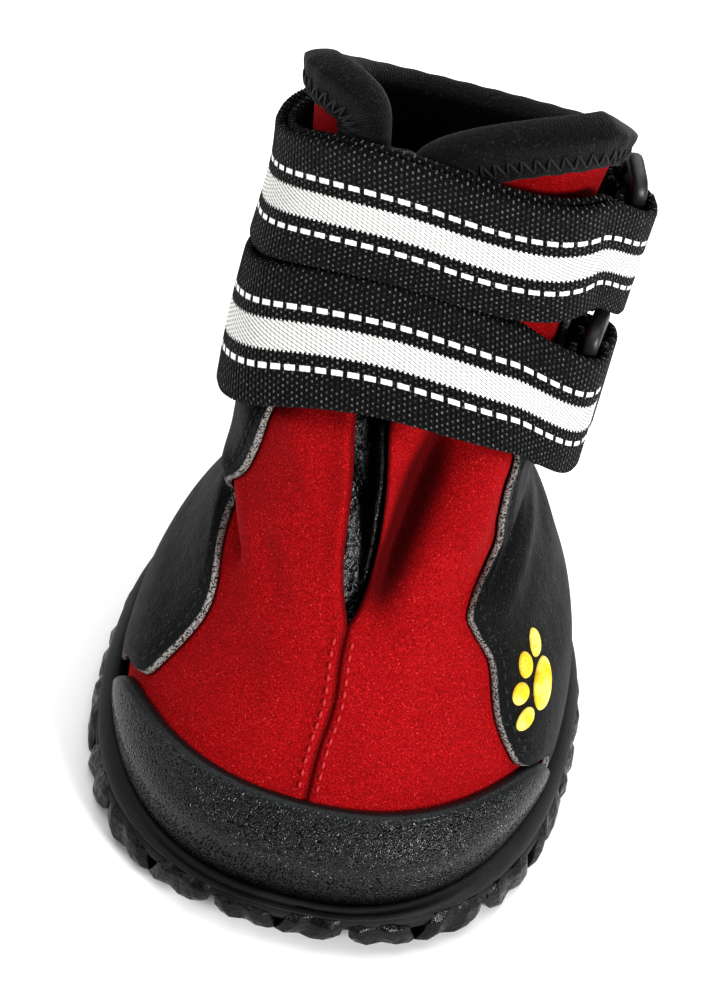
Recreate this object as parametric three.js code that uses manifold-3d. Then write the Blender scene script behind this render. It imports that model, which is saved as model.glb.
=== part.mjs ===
// A left dog bootie: a stretch upper with a front throat, cinched by two webbing straps
// that double back through plastic loops, on a round cup sole with rugged lugs.
// Sizes are in millimetres. The toe points to -Y, the wearer's left side is +X, and the
// lugs stand on Z = 0. Angles run round the upper from the front, towards +X.
import * as THREE from "three";
import { mergeVertices } from "three/addons/utils/BufferGeometryUtils.js";
import Module from "manifold-3d";

const wasm = await Module();
wasm.setup();

// Driving sizes
const FOOT_LENGTH = 75.5; // the upper's length where it stands in the sole
const FOOT_WIDTH = 60.4; // the upper's width at the ball
const BOOT_HEIGHT = 113; // floor to the top of the collar's ears
const WALL = 2.5; // stretch fabric with its lining
const FIT = 0.3; // the gap between pieces that lie on each other
const FLOOR_HEIGHT = 7; // floor to the inside of the cup sole
const BAND_HEIGHT = 10.6; // floor to the top of the sole's side band
const BAND_FOOT_OUT = 3.7; // how far the band stands out from the upper at its foot
const BAND_TOP_OUT = 1.5; // and at its rounded top
const LUG_DEPTH = 3; // the tread below the sole's plate
const LUG_PROUD = 1.0; // how far the edge lugs stand out from the band
const TOE_SPRING = 3.6; // how far the tread is lifted at the toe
const BAND_DIP = 3.4; // how far the side band's top drops at the toe
const INSOLE_THICKNESS = 2.4;
const CAP_THICKNESS = 1.9;
const OVERLAY_THICKNESS = 1.1;
const TONGUE_THICKNESS = 1.2;
const THROAT_GAP = 4.8; // the width of the open throat
const BINDING_WIDTH = 6.2;
const BINDING_THICKNESS = 0.9;
const STRAP_WIDTH = 20;
const STRAP_THICKNESS = 1.3;
const LOOP_BAR = 2.4; // thickness of the plastic loops
const PAW_THICKNESS = 0.7;

const DEG = Math.PI / 180;
const TURN = 2 * Math.PI;

// The last's profile, one section a row, from the front of the boot to its back: t is its
// place from the sole (0) to the rim (1); front and back are shares of half the foot's
// length and the rises are shares of the height above the insole.
const PROFILE = [
  { t: 0.0, front: -0.985, frontRise: 0.0, back: 0.975, backRise: 0.0 },
  { t: 0.05, front: -0.996, frontRise: 0.045, back: 0.996, backRise: 0.045 },
  { t: 0.1, front: -0.972, frontRise: 0.09, back: 1.01, backRise: 0.092 },
  { t: 0.16, front: -0.85, frontRise: 0.133, back: 1.018, backRise: 0.144 },
  { t: 0.22, front: -0.725, frontRise: 0.177, back: 1.02, backRise: 0.183 },
  { t: 0.28, front: -0.6, frontRise: 0.227, back: 1.02, backRise: 0.225 },
  { t: 0.34, front: -0.48, frontRise: 0.276, back: 1.018, backRise: 0.266 },
  { t: 0.41, front: -0.345, frontRise: 0.33, back: 1.014, backRise: 0.31 },
  { t: 0.52, front: -0.12, frontRise: 0.425, back: 1.002, backRise: 0.368 },
  { t: 0.64, front: 0.09, frontRise: 0.532, back: 0.992, backRise: 0.44 },
  { t: 0.76, front: 0.255, frontRise: 0.65, back: 0.986, backRise: 0.53 },
  { t: 0.88, front: 0.36, frontRise: 0.797, back: 0.992, backRise: 0.648 },
  { t: 0.95, front: 0.382, frontRise: 0.905, back: 1.002, backRise: 0.735 },
  { t: 1.0, front: 0.371, frontRise: 1.0, back: 1.017, backRise: 0.8 },
];

// The last's girth: half is a share of half the foot's width, square is how boxy the front
// is, twist turns the throat in degrees and sway moves the section sideways.
const GIRTH = [
  { t: 0.0, half: 0.985, square: 2.38, twist: 0, sway: 0.0 },
  { t: 0.05, half: 1.0, square: 2.38, twist: 0, sway: 0.0 },
  { t: 0.1, half: 0.975, square: 2.38, twist: 0, sway: 0.0 },
  { t: 0.16, half: 0.92, square: 2.3, twist: 0, sway: 0.0 },
  { t: 0.22, half: 0.84, square: 2.25, twist: 0, sway: 0.0 },
  { t: 0.28, half: 0.762, square: 2.2, twist: 2, sway: -0.01 },
  { t: 0.34, half: 0.682, square: 2.2, twist: 2.5, sway: -0.035 },
  { t: 0.41, half: 0.64, square: 2.25, twist: 5.5, sway: -0.07 },
  { t: 0.52, half: 0.64, square: 2.35, twist: 3, sway: -0.085 },
  { t: 0.64, half: 0.655, square: 2.45, twist: -4.5, sway: -0.08 },
  { t: 0.76, half: 0.655, square: 2.5, twist: -12, sway: -0.065 },
  { t: 0.88, half: 0.64, square: 2.5, twist: -18, sway: -0.045 },
  { t: 0.95, half: 0.665, square: 2.4, twist: -22, sway: -0.04 },
  { t: 1.0, half: 0.72, square: 2.3, twist: -24, sway: -0.03 },
];
const BACK_SQUARE = 2.2; // how boxy every section's back is

// Where things lie on the last, as places t or as angles in degrees
const THROAT_END = 0.375; // the throat's lower end
const THROAT_ROUND = 0.1; // over this much of t the throat opens to its full gap
// The collar's ears part from the throat at start and reach the rim at angle
const EARS = {
  left: { start: 0.914, angle: 86, bend: 1.75 },
  right: { start: 0.93, angle: 58, bend: 4.2 },
};
const CAP_TOP = 0.158;
const CAP_ENDS = { left: 76, right: 71 }; // degrees from the toe to the cap's rounded ends
const CAP_ROUND = 2.6; // how square the cap's ends are
const OVERLAY_TOP = 0.925;
const BINDING_START = 0.87; // the binding begins on the throat's edges here

// The side overlay's wavy front edge: its angle from the toe, on the left side of the
// wearer (+X) and on the right side (-X).
const WAVE = [
  { t: 0.0, left: 79, right: 79 },
  { t: 0.06, left: 78.5, right: 78.5 },
  { t: 0.085, left: 74.5, right: 74.5 },
  { t: 0.1, left: 70.5, right: 70.5 },
  { t: 0.12, left: 65, right: 64.5 },
  { t: 0.14, left: 61.5, right: 60 },
  { t: 0.185, left: 58, right: 57 },
  { t: 0.24, left: 56, right: 55 },
  { t: 0.285, left: 55, right: 56 },
  { t: 0.31, left: 53, right: 60 },
  { t: 0.335, left: 50.5, right: 70 },
  { t: 0.36, left: 48, right: 79 },
  { t: 0.38, left: 52, right: 78 },
  { t: 0.4, left: 61, right: 75 },
  { t: 0.43, left: 63, right: 69 },
  { t: 0.465, left: 60, right: 61 },
  { t: 0.51, left: 57, right: 53 },
  { t: 0.56, left: 55, right: 45 },
  { t: 0.61, left: 58, right: 43 },
  { t: 0.66, left: 70, right: 56 },
  { t: 0.71, left: 90, right: 78 },
  { t: 0.76, left: 110, right: 102 },
  { t: 0.81, left: 124, right: 122 },
  { t: 1.0, left: 140, right: 140 },
];

// The lower strap's middle line, as a place t at angles round the boot, and the room
// above it before the upper strap, which follows it
const STRAP_LINE = [
  { angle: -180, t: 0.61, room: 1.4 },
  { angle: -120, t: 0.624, room: 0.9 },
  { angle: -80, t: 0.645, room: 0.7 },
  { angle: -50, t: 0.672, room: 0.7 },
  { angle: -20, t: 0.71, room: 0.7 },
  { angle: 5, t: 0.722, room: 0.7 },
  { angle: 33, t: 0.714, room: 0.8 },
  { angle: 60, t: 0.688, room: 2.3 },
  { angle: 90, t: 0.655, room: 4.3 },
  { angle: 130, t: 0.622, room: 3.0 },
  { angle: 180, t: 0.61, room: 1.4 },
];
const TAB_WIDTH = 16;
const TAB_REACH = 40; // degrees from a loop to its tab's inner end
const TAB_STEP = 3; // degrees by which the tab's outer end stops short of the inner one

// A smooth curve through a table's rows: every column but the key, at one value of the key
function between(table, key, value) {
  const last = table.length - 1;
  let i = table.findIndex((row) => row[key] > value) - 1;
  if (i === -2) i = last - 1;
  i = Math.max(0, i);
  const [a, b] = [table[i], table[i + 1]];
  const step = b[key] - a[key];
  const u = THREE.MathUtils.clamp((value - a[key]) / step, 0, 1);
  const slope = (k, column) => {
    const [p, q] = [table[Math.max(0, k - 1)], table[Math.min(last, k + 1)]];
    return ((q[column] - p[column]) / (q[key] - p[key])) * step;
  };
  const made = {};
  for (const column of Object.keys(a)) {
    if (column === key) continue;
    const [m, n] = [slope(i, column), slope(i + 1, column)];
    made[column] =
      a[column] * (1 + 2 * u) * (1 - u) ** 2 +
      m * u * (1 - u) ** 2 +
      b[column] * u * u * (3 - 2 * u) +
      n * u * u * (u - 1);
  }
  return made;
}

// A point of the upper's outer face
function facePoint(angle, t) {
  const row = { ...between(PROFILE, "t", t), ...between(GIRTH, "t", t) };
  const rise = BOOT_HEIGHT - FLOOR_HEIGHT - FIT;
  const base = FLOOR_HEIGHT + FIT;
  const front = new THREE.Vector2((row.front * FOOT_LENGTH) / 2, base + row.frontRise * rise);
  const back = new THREE.Vector2((row.back * FOOT_LENGTH) / 2, base + row.backRise * rise);
  const middle = front.clone().lerp(back, 0.5);
  const turned = angle + row.twist * DEG;
  const [c, s] = [Math.cos(turned), Math.sin(turned)];
  const power = c > 0 ? row.square : BACK_SQUARE;
  const reach = (Math.abs(c) ** power + Math.abs(s) ** power) ** (-1 / power);
  const end = (c > 0 ? front : back).clone().sub(middle).multiplyScalar(reach * Math.abs(c));
  const x = ((row.sway + row.half * reach * s) * FOOT_WIDTH) / 2;
  return new THREE.Vector3(x, middle.x + end.x, middle.y + end.y);
}

// The directions of growing angle and growing t at a point of the face
function faceSlopes(angle, t) {
  const step = 2e-3;
  const low = Math.max(0, t - step);
  const high = Math.min(1, t + step);
  return {
    round: facePoint(angle + step, t).sub(facePoint(angle - step, t)).divideScalar(2 * step),
    up: facePoint(angle, high).sub(facePoint(angle, low)).divideScalar(high - low),
  };
}

// A point at a distance out from the upper's outer face, negative inside it
function onLast(angle, t, out = 0) {
  const { round, up } = faceSlopes(angle, t);
  return facePoint(angle, t).addScaledVector(round.cross(up).normalize(), out);
}

// The place t where the face comes out of the sole's side band
function placeOverBand(angle) {
  let [low, high] = [0, 0.3];
  for (let i = 0; i < 30; i++) {
    const middle = (low + high) / 2;
    const face = facePoint(angle, middle);
    if (face.z < bandTop(face.y) + FIT) low = middle;
    else high = middle;
  }
  return low;
}

// The sole's outline in plan, at a distance out from the foot of the upper
function outlinePoint(angle, out) {
  const foot = facePoint(angle, PROFILE[1].t);
  const { round } = faceSlopes(angle, PROFILE[1].t);
  const side = new THREE.Vector2(round.y, -round.x).normalize();
  return new THREE.Vector2(foot.x, foot.y).addScaledVector(side, out);
}

// How far the tread is lifted off the floor at a place along the boot
function springAt(y) {
  const start = -0.2 * FOOT_LENGTH;
  const end = -0.5 * FOOT_LENGTH - BAND_FOOT_OUT;
  const share = THREE.MathUtils.clamp((y - start) / (end - start), 0, 1.2);
  return TOE_SPRING * share ** 2;
}

// The height of the side band's top, which dips at the toe
function bandTop(y) {
  return BAND_HEIGHT - (BAND_DIP * springAt(y)) / TOE_SPRING;
}

// Triangles gathered as points, then welded into one closed body facing out
class Skin {
  constructor() {
    this.points = [];
  }

  triangle(a, b, c) {
    const flat = (p, q) => p.distanceToSquared(q) < 1e-8;
    if (!flat(a, b) && !flat(b, c) && !flat(c, a)) this.points.push(a, b, c);
  }

  quad(a, b, c, d) {
    this.triangle(a, b, c);
    this.triangle(a, c, d);
  }

  geometry() {
    const raw = new THREE.BufferGeometry().setFromPoints(this.points);
    const welded = mergeVertices(raw, 1e-4);
    const index = welded.index.array;
    const position = welded.attributes.position;
    const corner = (k) => new THREE.Vector3().fromBufferAttribute(position, index[k]);
    let volume = 0;
    for (let k = 0; k < index.length; k += 3)
      volume += corner(k).dot(corner(k + 1).cross(corner(k + 2)));
    if (volume < 0)
      for (let k = 0; k < index.length; k += 3)
        [index[k], index[k + 1]] = [index[k + 1], index[k]];
    return welded;
  }
}

// A closed body between two grids of points. Where joined is true for a pair of rows, the
// grid's first and last columns meet, so that no edge wall is made between them.
function slab(outer, inner, joined = () => false) {
  const skin = new Skin();
  const columns = outer.length - 1;
  const rows = outer[0].length - 1;
  for (let i = 0; i < columns; i++) {
    for (let j = 0; j < rows; j++) {
      skin.quad(outer[i][j], outer[i + 1][j], outer[i + 1][j + 1], outer[i][j + 1]);
      skin.quad(inner[i][j], inner[i][j + 1], inner[i + 1][j + 1], inner[i + 1][j]);
    }
    skin.quad(outer[i][0], inner[i][0], inner[i + 1][0], outer[i + 1][0]);
    skin.quad(outer[i][rows], outer[i + 1][rows], inner[i + 1][rows], inner[i][rows]);
  }
  for (let j = 0; j < rows; j++) {
    if (joined(j)) continue;
    skin.quad(outer[0][j], outer[0][j + 1], inner[0][j + 1], inner[0][j]);
    skin.quad(outer[columns][j], inner[columns][j], inner[columns][j + 1], outer[columns][j + 1]);
  }
  return skin.geometry();
}

// A closed body swept through a list of sections, each a closed loop of points
function sweep(sections, ring = false) {
  const skin = new Skin();
  const size = sections[0].length;
  const middle = (loop) =>
    loop.reduce((sum, p) => sum.add(p), new THREE.Vector3()).divideScalar(size);
  const ends = ring ? sections.length : sections.length - 1;
  for (let i = 0; i < ends; i++) {
    const next = sections[(i + 1) % sections.length];
    for (let k = 0; k < size; k++) {
      const n = (k + 1) % size;
      skin.quad(sections[i][k], next[k], next[n], sections[i][n]);
    }
  }
  if (!ring) {
    const [first, final] = [sections[0], sections[sections.length - 1]];
    for (let k = 0; k < size; k++) {
      const n = (k + 1) % size;
      skin.triangle(middle(first), first[k], first[n]);
      skin.triangle(middle(final), final[n], final[k]);
    }
  }
  return skin.geometry();
}

const grid = (columns, rows, at) =>
  Array.from({ length: columns + 1 }, (_, i) =>
    Array.from({ length: rows + 1 }, (_, j) => at(i / columns, j / rows)),
  );

// The throat's edge at a place t, as an angle on one side (+1 or -1)
function throatAngle(t, side) {
  const row = between(GIRTH, "t", t);
  const opened = THREE.MathUtils.clamp((t - THROAT_END) / THROAT_ROUND, 0, 1);
  const gap = (THROAT_GAP / 2) * (1 - (1 - opened) ** 2);
  const plain = Math.atan((2 * gap) / (row.half * FOOT_WIDTH));
  const ear = side > 0 ? EARS.left : EARS.right;
  const parted = THREE.MathUtils.clamp((t - ear.start) / (1 - ear.start), 0, 1) ** ear.bend;
  return side * (plain + (ear.angle * DEG - plain) * parted);
}

// The upper's rows, closer together where the throat's edges part
const EAR_ROWS = [EARS.left.start, 0.922, 0.93, 0.942, 0.955, 0.967, 0.978, 0.988, 0.995];
const UPPER_ROWS = [
  0, 0.05, 0.1, 0.14, 0.185, 0.24, 0.31, THROAT_END, 0.4, 0.45, 0.51, 0.59, 0.68, 0.78, 0.87,
  ...EAR_ROWS, 1,
];
const UPPER_COLUMNS = 32;

// The upper: one hollow wall, open underneath, at the throat and at the collar
function upper() {
  const columns = UPPER_COLUMNS;
  const wall = (out) =>
    Array.from({ length: columns + 1 }, (_, i) =>
      UPPER_ROWS.map((t) => {
        const from = throatAngle(t, 1);
        const to = TURN + throatAngle(t, -1);
        return onLast(from + ((to - from) * i) / columns, t, out);
      }),
    );
  return slab(wall(0), wall(-WALL), (j) => UPPER_ROWS[j + 1] <= THROAT_END);
}

// The gusset behind the throat, which keeps water out as a tongue does
function tongue() {
  const out = -(WALL + BINDING_THICKNESS + 3 * FIT);
  const sheet = (extra) =>
    grid(8, 11, (u, v) => {
      const t = THREE.MathUtils.lerp(THROAT_END - 0.045, 0.91, v);
      return onLast(THREE.MathUtils.lerp(-34, 34, u) * DEG, t, out + extra);
    });
  return slab(sheet(0), sheet(-TONGUE_THICKNESS));
}

// The footbed, a plate inside the foot of the upper
function insole() {
  const ring = (height, out) =>
    Array.from({ length: 40 }, (_, k) => {
      const p = outlinePoint((TURN * k) / 40, out);
      return new THREE.Vector3(p.x, p.y, height);
    });
  const bottom = FLOOR_HEIGHT + FIT;
  const side = -(WALL + 2 * FIT);
  return sweep([ring(bottom, side - 0.4), ring(bottom + INSOLE_THICKNESS, side)]);
}

// A point at a distance out from the upper as it is built, flat between its rows
function onWall(angle, t, out) {
  const top = Math.max(1, UPPER_ROWS.findIndex((row) => row >= t));
  const [low, high] = [UPPER_ROWS[top - 1], UPPER_ROWS[top]];
  return onLast(angle, low, out).lerp(onLast(angle, high, out), (t - low) / (high - low));
}

// The rubber toe cap, thickest across its middle, with rounded ends low on the sides
function toeCap() {
  const [columns, shares] = [24, [0, 0.2, 0.45, 0.7, 0.88, 1]];
  const sheet = (out) =>
    Array.from({ length: columns + 1 }, (_, i) => {
      const across = (2 * i) / columns - 1;
      const angle = across * (across > 0 ? CAP_ENDS.left : CAP_ENDS.right) * DEG;
      const low = placeOverBand(angle);
      const fall = Math.max(0.16, (1 - Math.abs(across) ** CAP_ROUND) ** (1 / CAP_ROUND));
      return shares.map((v) => onWall(angle, low + (CAP_TOP - low) * fall * v, out(v)));
    });
  const swell = (v) => 1.8 * FIT + CAP_THICKNESS * (0.7 + 0.45 * Math.sin(2.7 * v));
  return slab(sheet(swell), sheet(() => 1.8 * FIT));
}

// The coated overlay: both sides, the heel and a stay up the back, in one piece. Its
// columns stand at fixed angles and stop at its wavy edges.
function sideOverlay() {
  const waves = WAVE.map((row) => row.t).filter((t) => t < OVERLAY_TOP);
  const foot = UPPER_ROWS.filter((t) => t < 0.3);
  const rows = [...new Set([...waves, ...foot, OVERLAY_TOP])].sort((a, b) => a - b);
  const columns = 25;
  const [start, end] = [40, 320]; // the second and the last but one column's angles
  const wall = (out) =>
    Array.from({ length: columns + 1 }, (_, i) =>
      rows.map((t) => {
        const edge = between(WAVE, "t", t);
        const fixed = i === 0 ? 0 : i === columns ? 360 : start + ((end - start) * i) / columns;
        const angle = THREE.MathUtils.clamp(fixed, edge.left, 360 - edge.right) * DEG;
        return onWall(angle, Math.max(t, placeOverBand(angle) + 0.1 * t), out);
      }),
    );
  return slab(wall(1.6 * FIT + OVERLAY_THICKNESS), wall(1.6 * FIT));
}

const base = new THREE.Group();
const rubber = new THREE.MeshStandardMaterial({ color: 0x1b1c1e, roughness: 0.62, metalness: 0 });
const red = new THREE.MeshStandardMaterial({ color: 0xb01218, roughness: 0.85, metalness: 0 });
const coated = new THREE.MeshStandardMaterial({ color: 0x232427, roughness: 0.7, metalness: 0 });
const webbing = new THREE.MeshStandardMaterial({ color: 0x111112, roughness: 0.8, metalness: 0 });
const lining = new THREE.MeshStandardMaterial({ color: 0x0c0c0d, roughness: 0.9, metalness: 0 });
const plastic = new THREE.MeshStandardMaterial({ color: 0x2a2b2d, roughness: 0.4, metalness: 0 });
const yellow = new THREE.MeshStandardMaterial({ color: 0xf6d636, roughness: 0.6, metalness: 0 });

function add(name, geometry, material) {
  const mesh = new THREE.Mesh(geometry, material);
  mesh.name = name;
  base.add(mesh);
}

// A geometry as a manifold-3d solid, and back
function solid(geometry) {
  const bare = new THREE.BufferGeometry().setAttribute("position", geometry.attributes.position);
  if (geometry.index) bare.setIndex(geometry.index);
  const welded = mergeVertices(bare, 1e-4);
  const vertProperties = new Float32Array(welded.attributes.position.array);
  const triVerts = new Uint32Array(welded.index.array);
  return new wasm.Manifold(new wasm.Mesh({ numProp: 3, vertProperties, triVerts }));
}

function geometryOf(made) {
  const { vertProperties, triVerts } = made.getMesh();
  return new THREE.BufferGeometry()
    .setAttribute("position", new THREE.BufferAttribute(new Float32Array(vertProperties), 3))
    .setIndex(new THREE.BufferAttribute(new Uint32Array(triVerts), 1));
}

// The cup of the sole: a plate with a rounded band round it
function soleCup() {
  const ring = (out, height) =>
    Array.from({ length: 48 }, (_, k) => {
      const p = outlinePoint((TURN * k) / 48, out);
      return new THREE.Vector3(p.x, p.y, typeof height === "number" ? height : height(p.y));
    });
  const under = (y) => LUG_DEPTH + 0.6 * springAt(y);
  const share = (s) => (y) => THREE.MathUtils.lerp(LUG_DEPTH, bandTop(y), s);
  return sweep([
    ring(-0.35 * FOOT_WIDTH, under),
    ring(BAND_FOOT_OUT - 1.2, under),
    ring(BAND_FOOT_OUT, (y) => under(y) + 1),
    ring(BAND_FOOT_OUT, share(0.62)),
    ring(THREE.MathUtils.lerp(BAND_TOP_OUT, BAND_FOOT_OUT, 0.6), share(0.86)),
    ring(BAND_TOP_OUT, bandTop),
    ring(FIT + 0.15, bandTop),
    ring(FIT, FLOOR_HEIGHT),
    ring(-0.35 * FOOT_WIDTH, FLOOR_HEIGHT),
  ]);
}

// One block of the tread from its outline in plan, down to the floor or the toe's spring
function lug(corners, top) {
  const low = corners.map((p) => new THREE.Vector3(p.x, p.y, springAt(p.y)));
  const high = corners.map((p) => new THREE.Vector3(p.x, p.y, top(p.y)));
  return sweep([low, high]);
}

const EDGE_LUGS = 22;

function edgeLug(k) {
  const middle = (TURN * (k + 0.5)) / EDGE_LUGS;
  const half = (TURN / EDGE_LUGS) * 0.42;
  const depth = k % 2 ? 6.5 : 9;
  const lean = (k % 2 ? 0.35 : -0.35) * half;
  const at = (angle, out) => outlinePoint(angle, BAND_FOOT_OUT + out);
  const corners = [
    at(middle - half, LUG_PROUD * 0.5),
    at(middle - half * 0.3, LUG_PROUD),
    at(middle + half * 0.5, LUG_PROUD),
    at(middle + half, LUG_PROUD * 0.3),
    at(middle + half * 0.8 + lean, -depth * 0.8),
    at(middle - half * 0.6 + lean, -depth),
  ];
  return lug(corners, (y) => LUG_DEPTH + 0.6 * springAt(y) + 1.6);
}

// The blocks inside the edge lugs, in staggered rows about the middle one
function middleLugs() {
  const made = [];
  const [pitch, size] = [0.15 * FOOT_LENGTH, 0.052 * FOOT_LENGTH];
  for (let row = -3; row <= 3; row++) {
    for (let column = -2; column <= 2; column++) {
      const x = (column + (Math.abs(row) % 2) / 2) * pitch * 1.08;
      const y = row * pitch * 0.86;
      const reach = Math.hypot(x / (0.36 * FOOT_WIDTH), (y + 2) / (0.37 * FOOT_LENGTH));
      if (reach > 1) continue;
      const corners = Array.from({ length: 6 }, (_, k) => {
        const radius = size * (k % 3 === 0 ? 1.15 : 0.95);
        const turn = (k * TURN) / 6;
        return new THREE.Vector2(x + radius * Math.cos(turn), y + radius * Math.sin(turn));
      });
      made.push(lug(corners, (v) => LUG_DEPTH + 0.6 * springAt(v) + 1));
    }
  }
  return made;
}

function outsole() {
  let made = solid(soleCup());
  for (let k = 0; k < EDGE_LUGS; k++) made = made.add(solid(edgeLug(k)));
  for (const block of middleLugs()) made = made.add(solid(block));
  return geometryOf(made);
}

// A point moved over the face from a place on it, by lengths round and up
function stepOnFace(angle, t, sideways, upwards) {
  const { round, up } = faceSlopes(angle, t);
  return { angle: angle + sideways / round.length(), t: t + upwards / up.length() };
}

// The bound edge of the collar, from inside the throat over one ear, round the back and
// over the other ear. Each place has the direction into the fabric, round and up.
function rimPlaces() {
  const places = [];
  const climb = [BINDING_START, ...EAR_ROWS];
  for (const t of climb) places.push({ angle: throatAngle(t, 1), t });
  const [from, to] = [throatAngle(1, 1), TURN + throatAngle(1, -1)];
  for (let k = 0; k <= UPPER_COLUMNS; k++)
    places.push({ angle: from + ((to - from) * k) / UPPER_COLUMNS, t: 1 });
  for (const t of [...climb].reverse()) places.push({ angle: TURN + throatAngle(t, -1), t });
  return places;
}

function collarBinding() {
  const places = rimPlaces();
  const sections = places.map((place, k) => {
    const a = places[Math.max(0, k - 1)];
    const b = places[Math.min(places.length - 1, k + 1)];
    const { round, up } = faceSlopes(place.angle, Math.min(place.t, 0.999));
    const along = new THREE.Vector2((b.angle - a.angle) * round.length(), (b.t - a.t) * up.length());
    const into = new THREE.Vector2(along.y, -along.x).normalize();
    const at = (depth, out) => {
      const angle = place.angle + (into.x * depth) / round.length();
      const t = place.t + (into.y * depth) / up.length();
      const over = Math.max(0, t - 1) * up.length();
      const point = onLast(angle, Math.min(t, 1), out);
      return point.addScaledVector(up.clone().normalize(), over);
    };
    const outer = FIT + BINDING_THICKNESS;
    const inner = -(WALL + FIT + BINDING_THICKNESS);
    const lip = -(FIT + BINDING_THICKNESS);
    return [
      at(BINDING_WIDTH, outer),
      at(lip * 0.2, outer),
      at(lip, outer * 0.3),
      at(lip, inner + outer * 0.7),
      at(lip * 0.2, inner),
      at(BINDING_WIDTH, inner),
      at(BINDING_WIDTH, -(WALL + FIT)),
      at(-FIT, -(WALL + FIT)),
      at(-FIT, FIT),
      at(BINDING_WIDTH, FIT),
    ];
  });
  const skin = new Skin();
  const size = sections[0].length;
  for (let i = 0; i < sections.length - 1; i++)
    for (let k = 0; k < size; k++) {
      const n = (k + 1) % size;
      skin.quad(sections[i][k], sections[i + 1][k], sections[i + 1][n], sections[i][n]);
    }
  const cap = (s, flip) => {
    const faces = [[0, 1, 8, 9], [1, 2, 3, 8], [3, 7, 8], [3, 4, 7], [4, 5, 6, 7]];
    for (const f of faces) {
      const p = (flip ? [...f].reverse() : f).map((k) => s[k]);
      skin.triangle(p[0], p[1], p[2]);
      if (p.length === 4) skin.triangle(p[0], p[2], p[3]);
    }
  };
  cap(sections[0], false);
  cap(sections[sections.length - 1], true);
  return skin.geometry();
}

// How far the straps' inner pass lies off the upper, clear of the overlay and the binding
const STRAP_OUT = 3.6 * FIT + Math.max(OVERLAY_THICKNESS, BINDING_THICKNESS);
const BAR_ROOM = LOOP_BAR + 3 * FIT;
const LOOP_SPAN = LOOP_BAR + 2 * STRAP_THICKNESS + 5 * FIT; // between a loop's two bars

const LOWER_LINE = (angle) => between(STRAP_LINE, "angle", angle).t;
const UPPER_LINE = (angle) => {
  const row = between(STRAP_LINE, "angle", angle);
  const { up } = faceSlopes(angle * DEG, row.t + 0.09);
  return row.t + (STRAP_WIDTH + row.room) / up.length();
};

// A strap's middle line at any angle in degrees, and a loop's bars either side of its own
function lineAt(line, degrees) {
  return line(((((degrees + 180) % 360) + 360) % 360) - 180);
}

// Where each strap's loop sits and where its inner and outer passes end, in degrees
const STRAPS = [
  { name: "lower", line: LOWER_LINE, loop: 88, from: -148, finish: -156 },
  { name: "upper", line: UPPER_LINE, loop: 124, from: -148, finish: -164 },
];

// The flat frame a loop lies in: its middle, and the directions back, up and out
function loopFrame(line, loop) {
  const place = lineAt(line, loop);
  const { round, up } = faceSlopes(loop * DEG, place);
  const outwards = round.clone().cross(up).normalize();
  const upwards = up.clone().normalize();
  const backwards = upwards.clone().cross(outwards).normalize();
  const middle = onLast(loop * DEG, place, STRAP_OUT + STRAP_THICKNESS + BAR_ROOM / 2);
  return (x, y, z) =>
    middle
      .clone()
      .addScaledVector(backwards, x)
      .addScaledVector(upwards, y)
      .addScaledVector(outwards, z);
}

// A band of webbing that comes from one angle on the upper, passes inside a bar of a
// loop, turns round it and doubles back over itself to another angle.
function foldedBand(line, width, loop, from, finish, steps) {
  const frame = loopFrame(line, loop);
  const back = Math.sign(from - loop); // which side of the loop the band comes from
  const bar = (back * LOOP_SPAN) / 2;
  const middle = onLast(loop * DEG, lineAt(line, loop), STRAP_OUT);
  const beside = onLast((loop + back) * DEG, lineAt(line, loop + back), STRAP_OUT);
  const perDegree = middle.distanceTo(beside);
  const turnRadius = (BAR_ROOM + STRAP_THICKNESS) / 2;
  const sides = [-1, 0, 1].map((side) => (side * width) / 2);
  const pass = (end, out, lift) =>
    Array.from({ length: steps + 1 }, (_, k) => {
      const first = loop + bar / perDegree;
      const degrees = THREE.MathUtils.lerp(first, end, k / steps);
      const along = Math.abs(degrees - loop) * perDegree;
      const free = THREE.MathUtils.smoothstep(along - LOOP_SPAN / 2, 0, 11);
      const place = lineAt(line, degrees);
      const { up } = faceSlopes(degrees * DEG, place);
      return sides.map((side) =>
        frame(back * along, side, lift).lerp(
          onLast(degrees * DEG, place + side / up.length(), out),
          free,
        ),
      );
    });
  const inner = pass(from, STRAP_OUT + STRAP_THICKNESS / 2, -turnRadius);
  const outer = pass(finish, STRAP_OUT + 1.5 * STRAP_THICKNESS + FIT, turnRadius);
  const turn = [-50, 0, 50].map((a) => {
    const [across, out] = [Math.cos(a * DEG) * turnRadius, Math.sin(a * DEG) * turnRadius];
    return sides.map((side) => frame(bar - back * across, side, out));
  });
  const rails = [...inner.reverse(), ...turn, ...outer];
  const sections = rails.map((points, k) => {
    const before = rails[Math.max(0, k - 1)];
    const after = rails[Math.min(rails.length - 1, k + 1)];
    const across = points[2].clone().sub(points[0]);
    const faces = points.map((p, side) => {
      const along = after[side].clone().sub(before[side]);
      return along.cross(across).normalize().multiplyScalar(STRAP_THICKNESS / 2);
    });
    return [
      ...[0, 1, 2].map((side) => points[side].clone().add(faces[side])),
      ...[2, 1, 0].map((side) => points[side].clone().sub(faces[side])),
    ];
  });
  return sweep(sections);
}

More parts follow.
